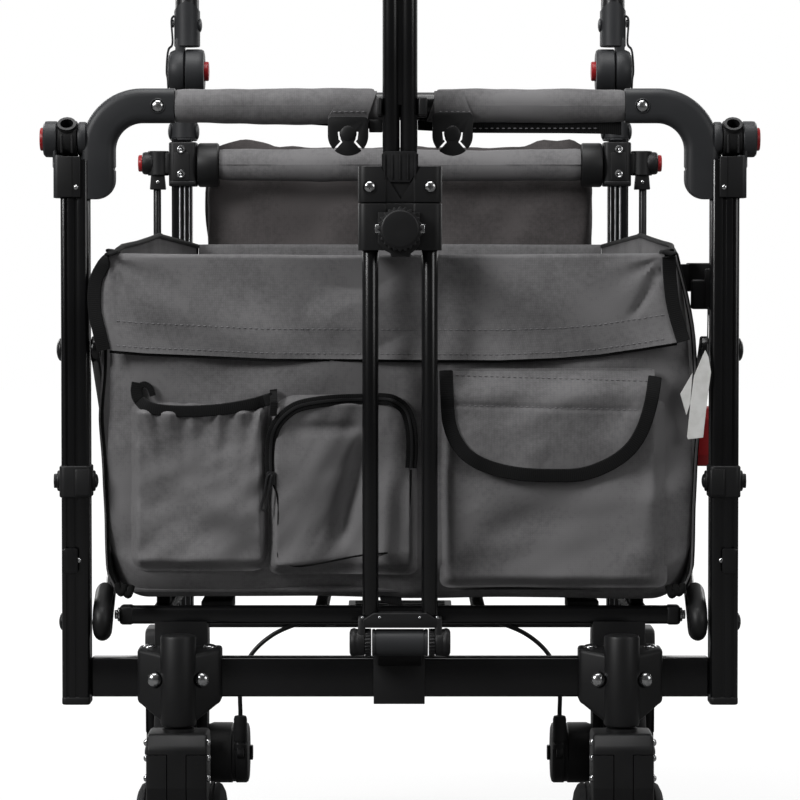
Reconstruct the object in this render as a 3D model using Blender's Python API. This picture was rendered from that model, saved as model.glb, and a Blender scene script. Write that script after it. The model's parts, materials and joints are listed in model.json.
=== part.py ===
"""Hand-pulled folding wagon, built as separate pieces in Blender.

Every size is in millimetres and is turned to metres when a mesh is made.
The front of the wagon, with its pull handle, looks along -Y. Left and right are as seen from there.
"""

import math

import bmesh
import bpy
from mathutils import Matrix, Vector

for thing in list(bpy.data.objects):
    bpy.data.objects.remove(thing, do_unlink=True)

MM = 0.001
SIDES = (("left", -1), ("right", 1))
GAP = 0.35
LARGE_SIDES = 18
MEDIUM_SIDES = 14
SMALL_SIDES = 8

# Frame planes and the folding sides
PLANE_SPACING = 800.0
BOX_SHIFT_Y = -22.0
FRONT_Y = -PLANE_SPACING / 2 + BOX_SHIFT_Y
REAR_Y = PLANE_SPACING / 2 + BOX_SHIFT_Y
MIDDLE_Y = BOX_SHIFT_Y
LOW_PIVOT_Z = 340.0
HIGH_PIVOT_Z = 588.0
OUTER_PLANE_X = (272.5, 280.5)
INNER_PLANE_X = (263.0, 271.0)
LINK_HALF_HEIGHT = 11.0
PIN_RADIUS = 5.0
PIN_HOLE_RADIUS = 5.75
STEM_RADIUS = 6.0
STEM_HOLE_RADIUS = 6.9
BOOT_RADIUS = 18.0
BOOT_LENGTH = 40.0

# Front frame
FRONT_POST_X = 294.5
FRONT_POST_WIDTH = 25.5
FRONT_POST_HALF_DEPTH = 15.0
FRONT_POST_Z = (268.0, 760.0)
FRONT_TUBE_Z = (272.0, 308.0)
FRONT_TUBE_HALF_DEPTH = 10.0
HUB_Z = 778.8
HUB_RADIUS = 16.0
BAR_Z = 809.0
BAR_HALF_LENGTH = 203.6
BAR_RADIUS = 14.6

# Pull handle
PULL_Y = FRONT_Y - 42.0
PULL_HINGE_Z = 325.4
PULL_BARREL_RADIUS = 12.3
PULL_CAP_RADIUS = 13.0
YOKE_ABOVE_HINGE = (13.6, 27.6)
PULL_TUBE_X = 26.6
PULL_TUBE_RADIUS = 7.3
PULL_BLOCK_Z = (678.0, 753.0)
POLE_HALF_WIDTH = 15.5
POLE_HALF_DEPTH = 7.5
POLE_TOP_Z = 1150.0
KNOB_Z = 697.0
KNOB_RADIUS = 20.5

# Casters
CASTER_X = 200.5
CASTER_Y = FRONT_Y - 30.0
CASTER_TRAIL = 45.0
CASTER_WHEEL_RADIUS = 95.0
CASTER_WHEEL_SPAN = (15.0, 41.0)
AXLE_HOLE_RADIUS = 5.35

# Rear frame and rear wheels
REAR_POST_X = 247.0
REAR_POST_WIDTH = 23.0
REAR_POST_HALF_DEPTH = 14.0
REAR_POST_Z = (250.0, 806.0)
REAR_TUBE_Z = (250.5, 272.0)
REAR_BAR_Z = 776.0
REAR_WHEEL_RADIUS = 104.0
REAR_WHEEL_SPAN = (233.0, 277.0)
REAR_AXLE_Y = REAR_Y + 20.0
CLAMP_X = (229.5, 261.6)
CLAMP_Z = (751.4, 802.0)
RING_X = 274.0

# Push handle
HANDLE_HINGE_Z = 882.0
HANDLE_HINGE_RADIUS = 25.0
HANDLE_TUBE_X = 241.0
HANDLE_TUBE_RADIUS = 13.5

# Floor and basket
FLOOR_PIVOT_Z = 344.5
FLOOR_PIVOT_INSET = 18.0
FLOOR_BAR_RADIUS = 8.7
FLOOR_HALF_LENGTH = 335.0
FRONT_FLOOR_BAR_HALF = 257.0
REAR_FLOOR_BAR_HALF = 230.0
BASKET_BOTTOM_Z = 362.0
BASKET_RIM_Z = 676.0

COLOURS = {
    "gloss_black_paint": ((0.012, 0.012, 0.013), 0.25, 0.0),
    "black_plastic": ((0.016, 0.016, 0.017), 0.5, 0.0),
    "dark_grey_plastic": ((0.028, 0.029, 0.031), 0.45, 0.0),
    "red_plastic": ((0.36, 0.02, 0.02), 0.4, 0.0),
    "grey_fabric": ((0.115, 0.112, 0.11), 0.9, 0.0),
    "rubber": ((0.018, 0.018, 0.018), 0.75, 0.0),
    "cable_sheath": ((0.012, 0.012, 0.012), 0.45, 0.0),
}


def paint(thing, finish):
    colour, roughness, metallic = COLOURS[finish]
    material = bpy.data.materials.new(thing.name + "_" + finish)
    material.use_nodes = True
    shader = material.node_tree.nodes["Principled BSDF"]
    shader.inputs["Base Color"].default_value = (*colour, 1.0)
    shader.inputs["Roughness"].default_value = roughness
    shader.inputs["Metallic"].default_value = metallic
    thing.data.materials.clear()
    thing.data.materials.append(material)


def from_bmesh(bm):
    """A helper object from a bmesh whose points are in millimetres."""
    bmesh.ops.recalc_face_normals(bm, faces=bm.faces)
    mesh = bpy.data.meshes.new("shape")
    bm.to_mesh(mesh)
    bm.free()
    mesh.transform(Matrix.Scale(MM, 4))
    shape = bpy.data.objects.new("shape", mesh)
    bpy.context.scene.collection.objects.link(shape)
    return shape


def from_rings(rings, closed_loop=False):
    """A closed skin through rings of points, with end caps unless the rings themselves form a loop."""
    bm = bmesh.new()
    made = [[bm.verts.new(point) for point in ring] for ring in rings]
    count = len(made[0])
    pairs = list(zip(made, made[1:]))
    if closed_loop:
        pairs.append((made[-1], made[0]))
    for first, second in pairs:
        for index in range(count):
            after = (index + 1) % count
            bm.faces.new((first[index], first[after], second[after], second[index]))
    if not closed_loop:
        bm.faces.new(made[0])
        bm.faces.new(made[-1])
    return from_bmesh(bm)


def block(x, y, z, bevel=0.0):
    """A box between (low, high) pairs, with rounded edges if bevel is given."""
    bm = bmesh.new()
    bmesh.ops.create_cube(bm, size=1.0)
    for vert in bm.verts:
        for axis, (low, high) in enumerate((x, y, z)):
            vert.co[axis] = (low + high) / 2 + vert.co[axis] * (high - low)
    if bevel:
        bmesh.ops.bevel(bm, geom=bm.edges[:], offset=bevel, segments=1, affect="EDGES")
    return from_bmesh(bm)


def side_block(side, x, y, z, bevel=0.0):
    """A box whose x pair is measured outward from the middle of the wagon, on the given side."""
    return block(tuple(sorted((side * x[0], side * x[1]))), y, z, bevel)


def across(axis, first, second, along):
    """A point from its two coordinates in the plane square to axis and its coordinate along it."""
    if axis == "x":
        return (along, first, second)
    if axis == "y":
        return (first, along, second)
    return (first, second, along)


def plate(axis, outline, low, high):
    """A flat outline, in the other two axes, given thickness along axis."""
    return from_rings([[across(axis, a, b, level) for a, b in outline] for level in (low, high)])


def side_plate(side, outline, x):
    low, high = sorted((side * x[0], side * x[1]))
    return plate("x", outline, low, high)


def turned(axis, centre, profile, sides=24):
    """A closed profile of (radius, position along axis) turned round an axis, flat at its lowest side."""
    rings = []
    stretch = 1 / math.cos(math.pi / sides)
    for step in range(sides):
        angle = 2 * math.pi * (step + 0.5) / sides
        ring = [
            across(
                axis,
                centre[0] + radius * stretch * math.cos(angle),
                centre[1] + radius * stretch * math.sin(angle),
                along,
            )
            for radius, along in profile
        ]
        rings.append(ring)
    return from_rings(rings, closed_loop=True)


def rod(axis, centre, radius, low, high, sides=MEDIUM_SIDES):
    """A cylinder along axis between low and high; centre holds the other two coordinates."""
    low, high = sorted((low, high))
    turn = [2 * math.pi * (step + 0.5) / sides for step in range(sides)]
    ring = [(centre[0] + radius * math.cos(t), centre[1] + radius * math.sin(t)) for t in turn]
    return plate(axis, ring, low, high)


def tube(route, radius, sides=12):
    """A round tube along a list of points."""
    points = [Vector(point) for point in route]
    rings = []
    normal = None
    for index, point in enumerate(points):
        before = points[max(index - 1, 0)]
        after = points[min(index + 1, len(points) - 1)]
        heading = (after - before).normalized()
        if normal is None:
            normal = heading.orthogonal().normalized()
        normal = (normal - heading * normal.dot(heading)).normalized()
        other = heading.cross(normal)
        ring = []
        for step in range(sides):
            turn = 2 * math.pi * (step + 0.5) / sides
            ring.append(point + radius * (math.cos(turn) * normal + math.sin(turn) * other))
        rings.append(ring)
    return from_rings(rings)


def smooth_route(points, steps):
    """Points of a smooth curve through the given ones."""
    knots = [Vector(point) for point in points]
    knots = [2 * knots[0] - knots[1], *knots, 2 * knots[-1] - knots[-2]]
    route = []
    for index in range(1, len(knots) - 2):
        a, b, c, d = knots[index - 1 : index + 3]
        for step in range(steps):
            t = step / steps
            square = (2 * a - 5 * b + 4 * c - d) * t * t
            cube = (3 * b - a - 3 * c + d) * t**3
            route.append(0.5 * (2 * b + (c - a) * t + square + cube))
    route.append(knots[-2])
    return route


def rounded_corner(corner, first, second, radius, steps=5):
    """Points of an arc that rounds the corner between the directions to first and second."""
    corner, first, second = Vector(corner), Vector(first), Vector(second)
    to_first = (first - corner).normalized()
    to_second = (second - corner).normalized()
    half = to_first.angle(to_second) / 2
    reach = radius / math.tan(half)
    centre = corner + (to_first + to_second).normalized() * radius / math.sin(half)
    start = corner + to_first * reach - centre
    end = corner + to_second * reach - centre
    turn = start.angle(end)
    return [
        centre + (start * math.sin((1 - t) * turn) + end * math.sin(t * turn)) / math.sin(turn)
        for t in (step / steps for step in range(steps + 1))
    ]


def sheet(columns, rows, place, thickness):
    """A closed cloth solid: place(u, v) gives a point of its front face and the way to its back."""
    bm = bmesh.new()
    layers = []
    for depth in (0.0, thickness):
        layer = []
        for row in range(rows + 1):
            line = []
            for column in range(columns + 1):
                point, backward = place(column / columns, row / rows)
                line.append(bm.verts.new(Vector(point) + Vector(backward) * depth))
            layer.append(line)
        layers.append(layer)
    for layer in layers:
        for row in range(rows):
            for column in range(columns):
                low, high = layer[row], layer[row + 1]
                bm.faces.new((low[column], low[column + 1], high[column + 1], high[column]))
    front, back = layers
    edges = [
        ([line[0] for line in front], [line[0] for line in back]),
        ([line[-1] for line in front], [line[-1] for line in back]),
        (front[0], back[0]),
        (front[-1], back[-1]),
    ]
    for first, second in edges:
        for index in range(len(first) - 1):
            bm.faces.new((first[index], first[index + 1], second[index + 1], second[index]))
    return from_bmesh(bm)


def build(name, finish, shapes, cuts=(), origin=(0.0, 0.0, 0.0)):
    """Unites the shapes, takes the cuts away and leaves one named object, its origin on its joint's axis."""
    base = shapes[0]
    for operation, others in (("UNION", shapes[1:]), ("DIFFERENCE", cuts)):
        for other in others:
            other.hide_render = True
            other.display_type = "WIRE"
            step = base.modifiers.new(operation.lower(), "BOOLEAN")
            step.operation = operation
            step.solver = "EXACT"
            step.object = other
    graph = bpy.context.evaluated_depsgraph_get()
    mesh = bpy.data.meshes.new_from_object(base.evaluated_get(graph))
    for shape in (*shapes, *cuts):
        bpy.data.objects.remove(shape, do_unlink=True)
    place = Vector(origin) * MM
    mesh.transform(Matrix.Translation(-place))
    mesh.shade_smooth()
    mesh.set_sharp_from_angle(angle=math.radians(35))
    mesh.name = name
    piece = bpy.data.objects.new(name, mesh)
    piece.location = place
    bpy.context.scene.collection.objects.link(piece)
    paint(piece, finish)
    return piece


def grooved_profile(centre_x, centre_y, width, half_depth, grooves):
    """Outline of a post seen from above, with grooves in its front face at the given x positions."""
    chamfer, groove_width, groove_depth = 3.0, 2.6, 2.0
    left, right = centre_x - width / 2, centre_x + width / 2
    front, back = centre_y - half_depth, centre_y + half_depth
    points = [(left, front + chamfer), (left + chamfer, front)]
    for groove in sorted(grooves):
        points += [
            (groove - groove_width / 2, front),
            (groove - groove_width / 2, front + groove_depth),
            (groove + groove_width / 2, front + groove_depth),
            (groove + groove_width / 2, front),
        ]
    points += [(right - chamfer, front), (right, front + chamfer), (right, back - chamfer)]
    points += [(right - chamfer, back), (left + chamfer, back), (left, back - chamfer)]
    return points


def front_posts():
    foot_z = (264.8, 271.5)
    collar_z = (454.0, 483.0)
    stop_plate_z = (386.0, 408.0)
    for word, side in SIDES:
        x = side * FRONT_POST_X
        inner = FRONT_POST_X - FRONT_POST_WIDTH / 2
        outer = FRONT_POST_X + FRONT_POST_WIDTH / 2
        groove = side * (FRONT_POST_X + 7.3)
        profile = grooved_profile(x, FRONT_Y, FRONT_POST_WIDTH, FRONT_POST_HALF_DEPTH, [groove])
        collar_y = (FRONT_Y - FRONT_POST_HALF_DEPTH - 2, FRONT_Y + FRONT_POST_HALF_DEPTH + 2)
        foot_y = (FRONT_Y - FRONT_POST_HALF_DEPTH - 0.5, FRONT_Y + FRONT_POST_HALF_DEPTH + 0.5)
        bolt_z = sum(collar_z) / 2
        low, high = (FRONT_Y, LOW_PIVOT_Z), (FRONT_Y, HIGH_PIVOT_Z)
        shapes = [
            plate("z", profile, *FRONT_POST_Z),
            side_block(side, (inner - 0.05, outer + 0.6), foot_y, foot_z, 2.0),
            side_block(side, (inner - 1.5, outer + 1.8), collar_y, collar_z, 1.5),
            rod("x", (FRONT_Y, bolt_z), 8.0, side * (inner - 6), side * (outer + 6), SMALL_SIDES),
            side_block(side, (291.8, 303.6), (FRONT_Y - 18.5, FRONT_Y - 12), stop_plate_z, 1.0),
            rod("x", high, PIN_RADIUS, side * 269.5, side * 300, SMALL_SIDES),
            rod("x", high, 7.5, side * 268.9, side * (OUTER_PLANE_X[0] - 0.3), SMALL_SIDES),
            rod("x", high, 10.0, side * 300, side * (outer + 5), MEDIUM_SIDES),
            rod("x", low, PIN_RADIUS, side * 260.5, side * 300, SMALL_SIDES),
            rod("x", low, 9.0, side * 259.4, side * (INNER_PLANE_X[0] - GAP), SMALL_SIDES),
            rod("x", low, 8.0, side * 300, side * (outer + 4), SMALL_SIDES),
        ]
        build(f"front_post_{word}", "gloss_black_paint", shapes)


def front_cross_tube():
    reach = FRONT_POST_X - FRONT_POST_WIDTH / 2 - GAP
    y = (FRONT_Y - FRONT_TUBE_HALF_DEPTH, FRONT_Y + FRONT_TUBE_HALF_DEPTH)
    build("front_cross_tube", "gloss_black_paint", [block((-reach, reach), y, FRONT_TUBE_Z, 2.0)])


def front_hubs():
    socket_span = (292.0, 310.0)
    post_inner = FRONT_POST_X - FRONT_POST_WIDTH / 2
    post_outer = FRONT_POST_X + FRONT_POST_WIDTH / 2
    for word, side in SIDES:
        axis = (FRONT_Y, HUB_Z)
        arm_x = 267.5
        lobe_bottom = 742.0
        bend = rounded_corner(
            (side * arm_x, FRONT_Y, BAR_Z), (side * arm_x, FRONT_Y, 700), (0, FRONT_Y, BAR_Z), 38.0, 5
        )
        arm_end = (side * (BAR_HALF_LENGTH + 0.3), FRONT_Y, BAR_Z)
        arm = [(side * arm_x, FRONT_Y, lobe_bottom + 4), *bend, arm_end]
        shapes = [
            side_block(side, (279.0, 313.5), (FRONT_Y - 19, FRONT_Y + 19), (726.0, 762.0), 3.0),
            side_block(side, (260.0, 282.0), (FRONT_Y - 17, FRONT_Y + 17), (740.0, 782.0), 3.0),
            rod("y", (side * 276.0, lobe_bottom), HUB_RADIUS, FRONT_Y - 16.5, FRONT_Y + 16.5, MEDIUM_SIDES),
            rod("x", axis, HUB_RADIUS - 0.5, side * 270, side * (socket_span[0] - GAP), MEDIUM_SIDES),
            rod("x", axis, HUB_RADIUS, side * (socket_span[1] + GAP), side * 322.6, MEDIUM_SIDES),
            side_block(side, (310.4, 313.5), (FRONT_Y - 13, FRONT_Y + 13), (750.0, 778.0)),
            rod("x", axis, 6.0, side * 280, side * 315, SMALL_SIDES),
            tube(arm, BAR_RADIUS + 0.9, 14),
        ]
        post_y = (FRONT_Y - FRONT_POST_HALF_DEPTH - GAP, FRONT_Y + FRONT_POST_HALF_DEPTH + GAP)
        cuts = [
            side_block(side, (post_inner - GAP, post_outer + GAP), post_y, (700.0, FRONT_POST_Z[1] + GAP)),
            side_block(side, (289.0, 304.0), (FRONT_Y - 40, FRONT_Y - 10), (700.0, FRONT_POST_Z[1] + GAP)),
            rod("x", axis, 10.9, side * 317.0, side * 330.0, MEDIUM_SIDES),
        ]
        build(f"front_hub_{word}", "dark_grey_plastic", shapes, cuts)

        tilt = math.radians(45)
        reach = Vector((0, -math.cos(tilt), math.sin(tilt)))
        centre = Vector((side * sum(socket_span) / 2, FRONT_Y, HUB_Z))
        near, far = socket_span
        shell = [(HUB_RADIUS, near), (HUB_RADIUS, far), (6.4, far), (6.4, near)]
        ring = turned("x", axis, [(radius, side * along) for radius, along in shell], 20)
        bore = tube([centre + reach * 8.0, centre + reach * 30.0], 5.8, 16)
        build(f"canopy_socket_front_{word}", "black_plastic", [ring], [bore], origin=(side * 301, *axis))

        button = rod("x", axis, 10.5, side * 320.0, side * 326.4, MEDIUM_SIDES)
        build(f"hub_button_{word}", "red_plastic", [button], origin=(side * 322.5, *axis))


def clip_outline(centre):
    """Shield shape of the clips that hang from the front bar."""
    half = 18.5
    bottom = []
    for step in range(9):
        turn = math.pi * step / 8
        bottom.append((centre + half * math.cos(turn), 781.0 - 17.5 * math.sin(turn)))
    return [(centre - 12, 800.0), *reversed(bottom), (centre + 12, 800.0)]


def front_bar():
    front = FRONT_Y - BAR_RADIUS
    shapes = [
        rod("x", (FRONT_Y, BAR_Z), BAR_RADIUS, -BAR_HALF_LENGTH, -20.0, MEDIUM_SIDES),
        rod("x", (FRONT_Y, BAR_Z), 11.0, -30.0, 30.0, MEDIUM_SIDES),
        rod("x", (FRONT_Y, BAR_Z), BAR_RADIUS, 26.0, BAR_HALF_LENGTH, MEDIUM_SIDES),
        block((-20.5, 24.5), (PULL_Y + POLE_HALF_DEPTH + 1.0, FRONT_Y), (797.0, 816.0), 1.0),
    ]
    for low, high in ((-20.5, -16.3), (16.3, 24.5)):
        shapes.append(block((low, high), (PULL_Y - POLE_HALF_DEPTH - 1, FRONT_Y - 20), (798.0, 815.0), 1.0))
    for centre in (-47.0, 49.0):
        shapes.append(plate("y", clip_outline(centre), front - 7.0, front - 0.5))
        shapes.append(block((centre - 13, centre + 13), (front - 6.0, FRONT_Y), (792.0, 814.0), 1.5))
    build("front_bar", "grey_fabric", shapes)


def pull_bracket():
    plate_y = (FRONT_Y - FRONT_TUBE_HALF_DEPTH - 4.4, FRONT_Y - FRONT_TUBE_HALF_DEPTH - GAP)
    shapes = [
        block((-24.0, 22.5), plate_y, (265.7, 312.0), 1.0),
        block((-20.0, 20.0), (PULL_Y + 4, plate_y[1] - 0.65), (299.0, PULL_HINGE_Z + 4.6), 2.0),
        rod("x", (PULL_Y, PULL_HINGE_Z), PULL_BARREL_RADIUS, -25.4, 25.4, MEDIUM_SIDES),
    ]
    bore = rod("x", (PULL_Y, PULL_HINGE_Z), PIN_HOLE_RADIUS, -40.0, 40.0, SMALL_SIDES)
    build("pull_bracket", "black_plastic", shapes, [bore])


def pull_handle():
    hinge = (PULL_Y, PULL_HINGE_Z)
    yoke_z = [PULL_HINGE_Z + rise for rise in YOKE_ABOVE_HINGE]
    foot_z = yoke_z[1] - 4.0
    shapes = [
        block((-34.0, 34.0), (PULL_Y - 9.5, PULL_Y + 9.5), yoke_z, 1.5),
        rod("x", hinge, PIN_RADIUS, -40.0, 40.0, SMALL_SIDES),
    ]
    for _, side in SIDES:
        x = side * PULL_TUBE_X
        shapes.append(side_block(side, (25.9, 33.0), (PULL_Y - 9, PULL_Y + 9), (PULL_HINGE_Z, foot_z), 1.0))
        shapes.append(rod("x", hinge, 12.0, side * 25.9, side * 33.0, MEDIUM_SIDES))
        shapes.append(rod("x", hinge, PULL_CAP_RADIUS, side * 31.5, side * 45.5, MEDIUM_SIDES))
        shapes.append(rod("z", (x, PULL_Y), PULL_TUBE_RADIUS, foot_z, PULL_BLOCK_Z[0] + 20, MEDIUM_SIDES))
    half = 37.5
    low, high = PULL_BLOCK_Z
    front_y, back_y = PULL_Y - 13.0, PULL_Y + 13.0
    shapes.append(block((-half, half), (front_y, back_y), (low, high), 3.0))
    shapes.append(block((-20.0, 18.0), (front_y - 3.0, PULL_Y), (672.0, 712.0), 2.0))
    notch = [(-22.0, 760.0), (-POLE_HALF_WIDTH - 0.4, 726.0), (POLE_HALF_WIDTH + 0.4, 726.0), (22.0, 760.0)]
    slot_x = (-POLE_HALF_WIDTH - 0.4, POLE_HALF_WIDTH + 0.4)
    cuts = [
        plate("y", notch, PULL_Y - 30, PULL_Y - POLE_HALF_DEPTH),
        block(slot_x, (PULL_Y - POLE_HALF_DEPTH - 0.4, PULL_Y + POLE_HALF_DEPTH + 0.4), (600.0, 800.0)),
        rod("y", (0.0, KNOB_Z), 4.4, PULL_Y - 30, PULL_Y, SMALL_SIDES),
    ]
    build("pull_tubes", "gloss_black_paint", shapes, cuts, origin=(0, *hinge))

    shapes = []
    for _, side in SIDES:
        x = side * (POLE_HALF_WIDTH - 7.3)
        shapes.append(rod("z", (x, PULL_Y), 7.3, 686.0, POLE_TOP_Z, SMALL_SIDES))
    shapes.append(block((-4.0, 4.0), (PULL_Y - 4, PULL_Y + 4), (686.5, POLE_TOP_Z - 1)))
    shapes.append(rod("x", (PULL_Y, POLE_TOP_Z), 15.0, -62.0, 62.0, MEDIUM_SIDES))
    build("pull_pole", "gloss_black_paint", shapes, origin=(0, PULL_Y, 686))

    face = PULL_Y - 16.4
    lobes = []
    for step in range(48):
        turn = 2 * math.pi * step / 48
        radius = KNOB_RADIUS - 1.6 + 1.2 * math.cos(12 * turn)
        lobes.append((radius * math.cos(turn), KNOB_Z + radius * math.sin(turn)))
    stem = rod("y", (0.0, KNOB_Z), 4.0, face - 2, face + 7.4, SMALL_SIDES)
    knob = [plate("y", lobes, face - 15.0, face), stem]
    build("pull_knob", "black_plastic", knob, origin=(0, face, KNOB_Z))


def caster(word, side):
    """One swivel caster: its bracket on the cross tube, its fork and its twin wheels."""
    x = side * CASTER_X
    prow = [(x - 38, -12), (x - 38, -19), (x - 15, -45), (x + 15, -45), (x + 38, -19), (x + 38, -12)]
    prow = [(a, FRONT_Y + b) for a, b in prow]
    skirt = [(x - 38, 266), (x - 38, 260), (x - 16, 248), (x + 16, 248), (x + 38, 260), (x + 38, 266)]
    saddle_y = FRONT_Y + FLOOR_PIVOT_INSET
    shapes = [
        block((x - 38, x + 38), (FRONT_Y - 14, FRONT_Y + 14), (264.0, 316.0), 2.0),
        plate("z", prow, 262.0, 314.0),
        plate("y", skirt, FRONT_Y - 38, FRONT_Y + 13),
        rod("z", (x, CASTER_Y), HUB_RADIUS, 248.0, 331.5, MEDIUM_SIDES),
        block((x - 10, x + 10), (FRONT_Y + 11, saddle_y + 11), (300.0, 340.0), 1.0),
    ]
    tube_y = (FRONT_Y - FRONT_TUBE_HALF_DEPTH - GAP, FRONT_Y + FRONT_TUBE_HALF_DEPTH + GAP)
    tube_z = (FRONT_TUBE_Z[0] - GAP, FRONT_TUBE_Z[1] + GAP)
    cuts = [
        block((x - 60, x + 60), tube_y, tube_z),
        rod("x", (saddle_y, FLOOR_PIVOT_Z), FLOOR_BAR_RADIUS + GAP, x - 30, x + 30, MEDIUM_SIDES),
        rod("z", (x, CASTER_Y), STEM_HOLE_RADIUS, 230.0, 262.0, SMALL_SIDES),
    ]
    build(f"caster_bracket_{word}", "black_plastic", shapes, cuts)

    axle_y = CASTER_Y + CASTER_TRAIL
    leg = [(-10, 205), (-10, 172), (26, 96), (36, 80), (54, 80), (62, 96), (56, 122), (30, 205)]
    leg = [(CASTER_Y + a, b) for a, b in leg]
    shapes = [
        block((x - 27.2, x + 27.2), (CASTER_Y - 29, CASTER_Y + 31), (196.0, 244.6), 5.0),
        block((x - 27.2, x + 27.2), (CASTER_Y - 29, CASTER_Y - 17), (171.0, 215.0), 4.0),
        plate("x", leg, x - 13.5, x + 13.5),
        rod("z", (x, CASTER_Y), STEM_RADIUS, 235.0, 261.0, SMALL_SIDES),
        rod("x", (axle_y, CASTER_WHEEL_RADIUS), PIN_RADIUS, x - 41.0, x + 41.0, SMALL_SIDES),
    ]
    build(f"caster_fork_{word}", "black_plastic", shapes, origin=(x, CASTER_Y, 245))

    low, high = CASTER_WHEEL_SPAN
    radius = CASTER_WHEEL_RADIUS
    profile = [
        (AXLE_HOLE_RADIUS, low), (60, low + 2), (66, low), (radius - 7, low), (radius, low + 7),
        (radius, high - 7), (radius - 7, high), (66, high), (60, high - 4), (AXLE_HOLE_RADIUS, high - 2),
    ]
    for place, way in (("inner", -side), ("outer", side)):
        wheel = turned("x", (axle_y, radius), [(r, x + way * along) for r, along in profile], 24)
        origin = (x + way * (low + high) / 2, axle_y, radius)
        build(f"caster_wheel_{word}_{place}", "rubber", [wheel], origin=origin)


def bar_outline(start, end, half, end_radius):
    """Outline of a flat bar with round ends, in the side plane."""
    start, end = Vector(start), Vector(end)
    heading = math.atan2(end.y - start.y, end.x - start.x)
    points = []
    for centre, first in ((end, heading - math.pi / 2), (start, heading + math.pi / 2)):
        spread = math.asin(min(1.0, half / end_radius))
        low = first + math.pi / 2 - (math.pi - spread)
        for step in range(11):
            turn = low + 2 * (math.pi - spread) * step / 10
            points.append((centre.x + end_radius * math.cos(turn), centre.y + end_radius * math.sin(turn)))
    return points


def side_links():
    """Two rails in a V and two links in an inverted V on each side, pinned at ends and middle."""
    mid_high, mid_low = (MIDDLE_Y, HIGH_PIVOT_Z), (MIDDLE_Y, LOW_PIVOT_Z)
    front_high, front_low = (FRONT_Y, HIGH_PIVOT_Z), (FRONT_Y, LOW_PIVOT_Z)
    rear_high, rear_low = (REAR_Y, HIGH_PIVOT_Z), (REAR_Y, LOW_PIVOT_Z)
    half, end_radius = LINK_HALF_HEIGHT, 12.5
    outer, inner = OUTER_PLANE_X, INNER_PLANE_X
    heading = Vector((MIDDLE_Y - FRONT_Y, HIGH_PIVOT_Z - LOW_PIVOT_Z)).normalized()
    boot_end = Vector(front_low) + heading * BOOT_LENGTH
    for word, side in SIDES:

        def hole(centre):
            return rod("x", centre, PIN_HOLE_RADIUS, side * 250, side * 290, SMALL_SIDES)

        boot = [
            side_plate(side, bar_outline(front_low, boot_end, 13.0, BOOT_RADIUS), (inner[0], outer[1] - 0.5)),
            side_plate(side, bar_outline(front_low, mid_high, half, end_radius), inner),
            rod("x", mid_high, PIN_RADIUS, side * 266, side * 283, SMALL_SIDES),
            rod("x", mid_high, 9.0, side * (outer[1] + GAP), side * 284, SMALL_SIDES),
        ]
        origin = (side * 267, *front_low)
        build(f"link_front_{word}", "gloss_black_paint", boot, [hole(front_low)], origin=origin)

        arm = [side_plate(side, bar_outline(mid_high, rear_low, half, end_radius), outer)]
        cuts = [hole(mid_high), hole(rear_low)]
        build(f"link_rear_{word}", "gloss_black_paint", arm, cuts, origin=(side * 276.5, *mid_high))

        rail = [
            side_plate(side, bar_outline(front_high, mid_low, half, end_radius), outer),
            rod("x", mid_low, PIN_RADIUS, side * 261, side * 278, SMALL_SIDES),
            rod("x", mid_low, 9.0, side * 259.6, side * (inner[0] - GAP), SMALL_SIDES),
        ]
        if word == "right":
            rail.append(rod("x", lever_pivot(), 4.0, side * 276, side * 297.5, SMALL_SIDES))
        origin = (side * 276.5, *front_high)
        build(f"rail_front_{word}", "gloss_black_paint", rail, [hole(front_high)], origin=origin)

        arm = [side_plate(side, bar_outline(mid_low, rear_high, half, end_radius), inner)]
        cuts = [hole(mid_low), hole(rear_high)]
        build(f"rail_rear_{word}", "gloss_black_paint", arm, cuts, origin=(side * 267, *rear_high))


def lever_pivot():
    """Where the red fold lever sits on the right front rail."""
    along = 170.0
    heading = Vector((MIDDLE_Y - FRONT_Y, LOW_PIVOT_Z - HIGH_PIVOT_Z)).normalized()
    return (FRONT_Y + heading.x * along, HIGH_PIVOT_Z + heading.y * along)


def fold_lever():
    y, z = lever_pivot()
    outline = [(y - 8, z + 32), (y - 12, z + 20), (y - 11, z - 14), (y - 5, z - 25)]
    outline += [(y + 5, z - 25), (y + 11, z - 14), (y + 12, z + 20), (y + 8, z + 32)]
    paddle = plate("x", outline, 281.0, 296.0)
    hole = rod("x", (y, z), 4.35, 270, 310, SMALL_SIDES)
    build("fold_lever", "red_plastic", [paddle], [hole], origin=(288.5, y, z))


def ring_holder():
    x, y = 284.6, FRONT_Y + 40.0
    profile = [(21.4, 640.0), (21.4, 667.0), (18.4, 667.0), (18.4, 640.0)]
    shapes = [
        turned("z", (x, y), profile, 20),
        block((278.0, 304.0), (FRONT_Y + 15.4, FRONT_Y + 20.5), (624.0, 662.0), 1.0),
        block((266.0, 284.0), (y - 23, y - 12), (624.0, 652.0), 2.0),
    ]
    bore = rod("z", (x, y), 18.4, 600.0, 700.0, LARGE_SIDES)
    build("ring_holder", "black_plastic", shapes, [bore])


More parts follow.
